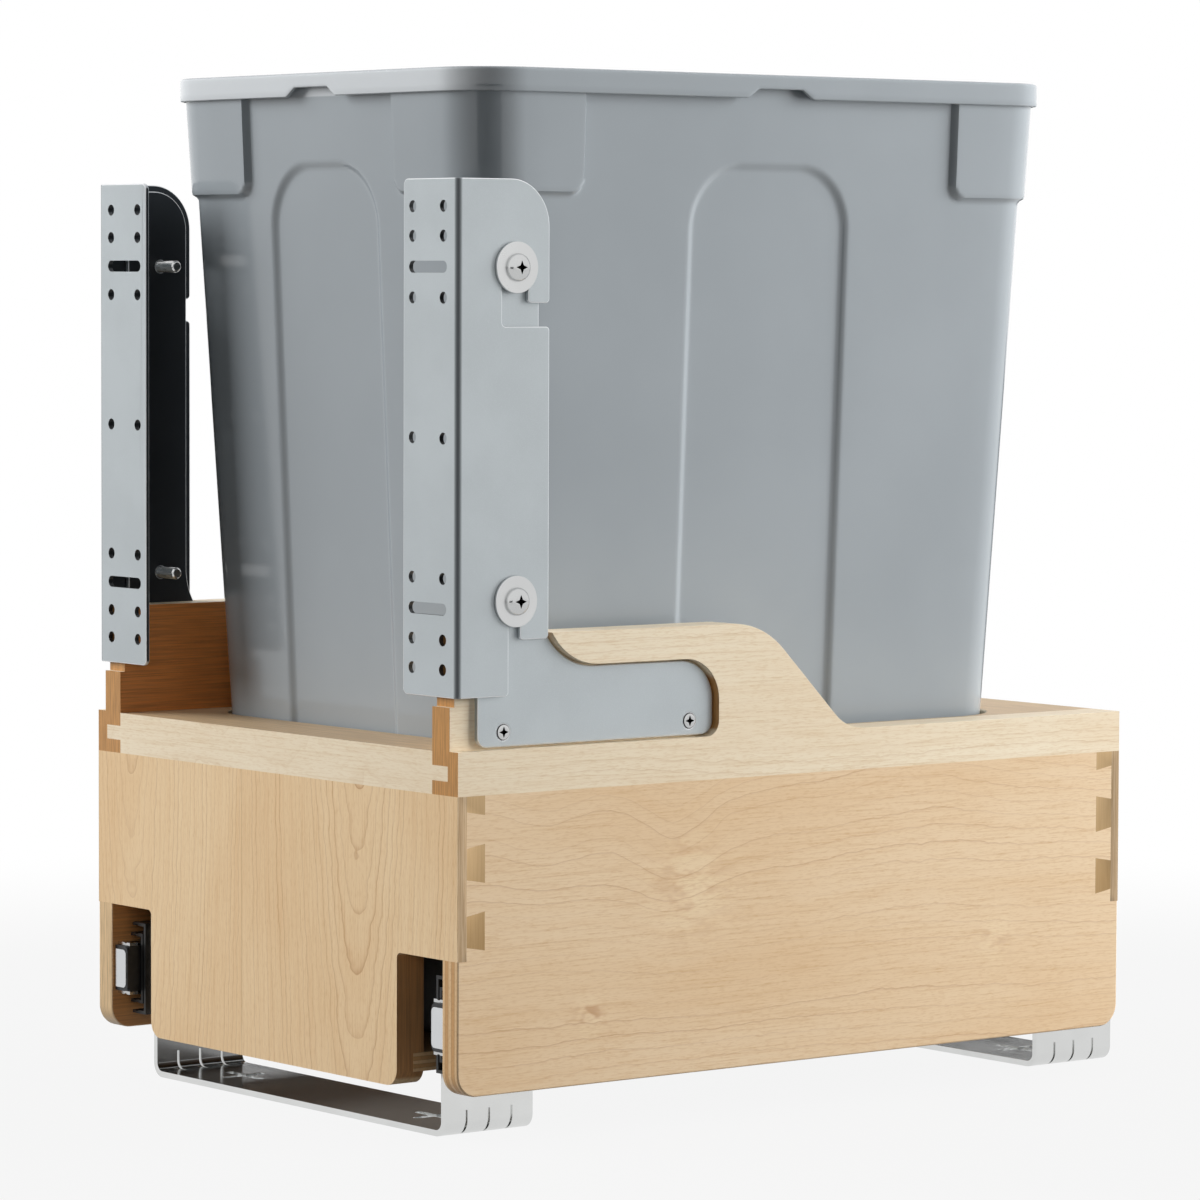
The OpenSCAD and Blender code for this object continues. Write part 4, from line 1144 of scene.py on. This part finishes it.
# %% Finishes of the steel parts
silver = metal("silver_satin_paint", linear(190, 197, 200), 0.38, 0.5, flakes=0.3, wear=0.05,
               shade=bracket_painted_light)
zinc = metal("zinc_bright", linear(205, 206, 206), 0.2, grain="y", wear=0.14)
strap_zinc = metal("zinc_strap", linear(230, 231, 230), 0.17, grain="x", wear=0.12, shade=strap_painted_shade)
screw_steel = metal("screw_plating", linear(206, 207, 207), 0.16, shade=recess_painted_shade)
washer_steel = metal("washer_plating", linear(218, 219, 219), 0.3, wear=0.06)
cap_face = metal("cap_face", linear(222, 224, 226), 0.16, 0.9, wear=0.04)
for name, piece in steel.items():
    paint(strap_zinc if "strap" in name else washer_steel if "washer" in name else silver, piece)
paint(screw_steel, *screws)
print("painted or plated:", len(steel) + len(screws), "pieces")

# %% [markdown]
# ## Rubber and black plastic
# The stops at the slides' rear ends are dull rubber, the plugs at their front ends are black
# plastic, and two of the three members of each slide have a black coat. They are almost one
# colour, so a fine mottle and an uneven shine are enough to keep them from looking flat.

# %% Rubber and black plastic
def dull(name, colour, rough):
    """Rubber or plain black plastic, slightly mottled."""
    s = Shader(name)
    mottle = s.noise(s.where, 420.0, 3.0, 0.6)
    base = s.mix(mottle.between(0.35, 0.7), colour, tuple(c * 1.5 + 0.002 for c in colour))
    s.feed(Base_Color=base, Roughness=rough + (mottle - 0.5) * 0.16)
    s.bump(mottle, 0.05 * MM, 0.5)
    return s.material


rubber = dull("rubber_stop", linear(30, 31, 33), 0.7)
black = dull("black_plug", linear(22, 23, 25), 0.4)
coat = dull("black_coat", linear(20, 21, 22), 0.35)


def finish_of(name):
    """The finish of a CAD node, by the words in its name."""
    if any(word in name for word in ("screws", "rivets", "balls")):
        return screw_steel
    if name.startswith(("slide_cabinet", "slide_middle")):
        return coat
    if "bumper" in name:
        return rubber
    if "cap" in name:
        return cap_face if "plate" in name else black
    return zinc


kept = {name: piece for name, piece in nodes.items() if not piece.hide_render}
for name, piece in kept.items():
    paint(finish_of(name), piece)
print("finishes on", len(kept), "CAD nodes")

# %% [markdown]
# ## Camera
# A product photograph is taken from far away with a long lens, so that upright edges stay almost
# parallel. The camera stands 2.7 metres off, to the right of the front, a little above the
# middle of the unit. Its axes are worked out from three angles, and the last turn is a slight
# lean that the photograph has too.

# %% Camera
azimuth, pitch, roll = math.radians(51.892), math.radians(3.457), math.radians(0.216)
CAMERA_AT = Vector((2.11845, -1.68019, 0.40047))
level = Vector((-math.sin(azimuth), math.cos(azimuth), 0))
forward = level * math.cos(pitch) - Vector((0, 0, math.sin(pitch)))
right = Vector((math.cos(azimuth), math.sin(azimuth), 0))
up = right.cross(forward)
right, up = (right * math.cos(roll) + up * math.sin(roll), up * math.cos(roll) - right * math.sin(roll))
bpy.ops.object.select_all(action="DESELECT")
bpy.ops.object.camera_add()
camera = bpy.context.object
camera.name = "camera"
camera.data.lens = 161.63
camera.data.sensor_width = 36
camera.data.clip_end = 50
turned = Matrix((right, up, -forward)).transposed().to_4x4()
camera.matrix_world = Matrix.Translation(CAMERA_AT) @ turned
bpy.context.scene.camera = camera
print("camera lens", camera.data.lens, "mm, distance", round(CAMERA_AT.xy.length, 2), "m")

# %% [markdown]
# ## Floor
# The floor is a plain sheet, just under the feet of the straps. A white background could be had
# with more light, but that would burn out the unit. So the floor looks almost white to the
# camera and in mirrors, and keeps a part of its real shading, so that the unit still casts a
# soft shadow.

# %% Floor
bpy.ops.object.select_all(action="DESELECT")
bpy.ops.mesh.primitive_plane_add(size=40, location=(0, 0, -0.4 * MM))
floor = named("studio_floor")
bpy.ops.object.transform_apply(location=True)
s = Shader("floor_pale", Roughness=0.9, Base_Color=(0.14, 0.14, 0.14, 1))
seen = s.node("LightPath", {}, {}, "Is Camera Ray")
mirrored = s.node("LightPath", {}, {}, "Is Glossy Ray")
away = (s.x * s.x + s.y * s.y) ** 0.5
share = (seen * (0.9 + away.between(0.5, 1.1) * 0.1)).larger(mirrored * 0.8)
glow = s.node("Emission", {}, {"Color": (1.0, 1.0, 1.0), "Strength": 1.0})
blend = s.node("MixShader", {}, {0: share, 1: Value(s, s.surface.outputs[0]), 2: glow})
s.tree.links.new(blend.socket, s.tree.nodes["Material Output"].inputs["Surface"])
paint(s.material, floor)
print("floor", round(floor.dimensions.x), "m wide")

# %% [markdown]
# ## World
# The background is white where the camera or a mirror sees it, and a quiet blue-grey light
# everywhere else. In this way the picture gets its white ground while the shadows stay dark
# enough to show the forms.

# %% World
world = bpy.data.worlds.new("studio")
bpy.context.scene.world = world
world.use_nodes = True
sky = Nodes(world.node_tree)
quiet = sky.tree.nodes["Background"]
quiet.inputs["Color"].default_value = (0.97, 0.985, 1.0, 1)
quiet.inputs["Strength"].default_value = 0.06
white = sky.node("Background", {}, {"Color": (1.0, 1.0, 1.0), "Strength": 1.0})
seen, mirrored, passed = (sky.node("LightPath", {}, {}, "Is " + kind + " Ray")
                          for kind in ("Camera", "Glossy", "Transmission"))
either = seen.larger(mirrored).larger(passed)
choose = sky.node("MixShader", {}, {0: either, 1: Value(sky, quiet.outputs[0]), 2: white})
sky.tree.links.new(choose.socket, sky.tree.nodes["World Output"].inputs["Surface"])
print("world light", round(quiet.inputs["Strength"].default_value, 2))

# %% [markdown]
# ## Lamps
# Four large soft lamps shape the forms: a strong one at the left front, a weaker one at the right
# rear that lights the side panel, a small one by the camera, and one from the top. They aren't
# seen in mirrors, because a lamp's outline on the bin or the brackets would look hard.

# %% Lamps
def softbox(name, where, size, power):
    """A large rectangular lamp. It faces the unit's middle, and stands upright unless it's high."""
    bpy.ops.object.select_all(action="DESELECT")
    bpy.ops.object.light_add(type="AREA", location=where)
    lamp = bpy.context.object
    lamp.name = name
    lamp.data.shape = "RECTANGLE"
    lamp.data.size, lamp.data.size_y = size
    lamp.data.energy = power
    lamp.visible_glossy = False
    aim = Vector((0, 0, 0 if where[2] > 2 else where[2]))
    lamp.rotation_euler = (aim - Vector(where)).to_track_quat("-Z", "Y").to_euler()
    print(name, power, "W")


softbox("key_left_front", (-2.7, -2.1, 1.66), (2.6, 2.3), 178)
softbox("fill_right_rear", (1.3, 2.1, 0.95), (1.7, 1.8), 104)
softbox("strip_by_camera", (2.65, -2.08, 0.9), (1.3, 0.7), 7)
softbox("top", (0.0, 0.3, 2.4), (1.2, 1.2), 16)

# %% [markdown]
# ## Black flags
# A photographer puts black cards round a shiny thing, so that its edges stand out against the
# white. One card stands before the unit and one behind it. They cast no shadow and the camera
# doesn't see them. They show only as reflections in paint, zinc and plastic.

# %% Black flags
card = Shader("flag_black", Roughness=0.9, Base_Color=(0.01, 0.01, 0.01, 1)).material


def black_flag(name, direction, distance, width, low, high):
    """An upright black card that only mirrors see, facing the unit."""
    bpy.ops.object.select_all(action="DESELECT")
    bpy.ops.mesh.primitive_plane_add(size=1)
    flag = named(name)
    flag.data.transform(Matrix.Diagonal((width, high - low, 1, 1)))
    flag.data.transform(Matrix.Translation(direction * distance + Vector((0, 0, (low + high) / 2)))
                        @ direction.to_track_quat("Z", "Y").to_matrix().to_4x4())
    flag.visible_camera = flag.visible_diffuse = flag.visible_shadow = False
    paint(card, flag)


to_camera = Vector((right.y, -right.x, 0))
black_flag("flag_front", to_camera, 3.2, 2.6, -0.2, 0.47)
black_flag("flag_behind", -to_camera, 1.6, 2.4, -0.1, 0.3)
bpy.context.scene.view_settings.view_transform = "Standard"
print("two flags placed")
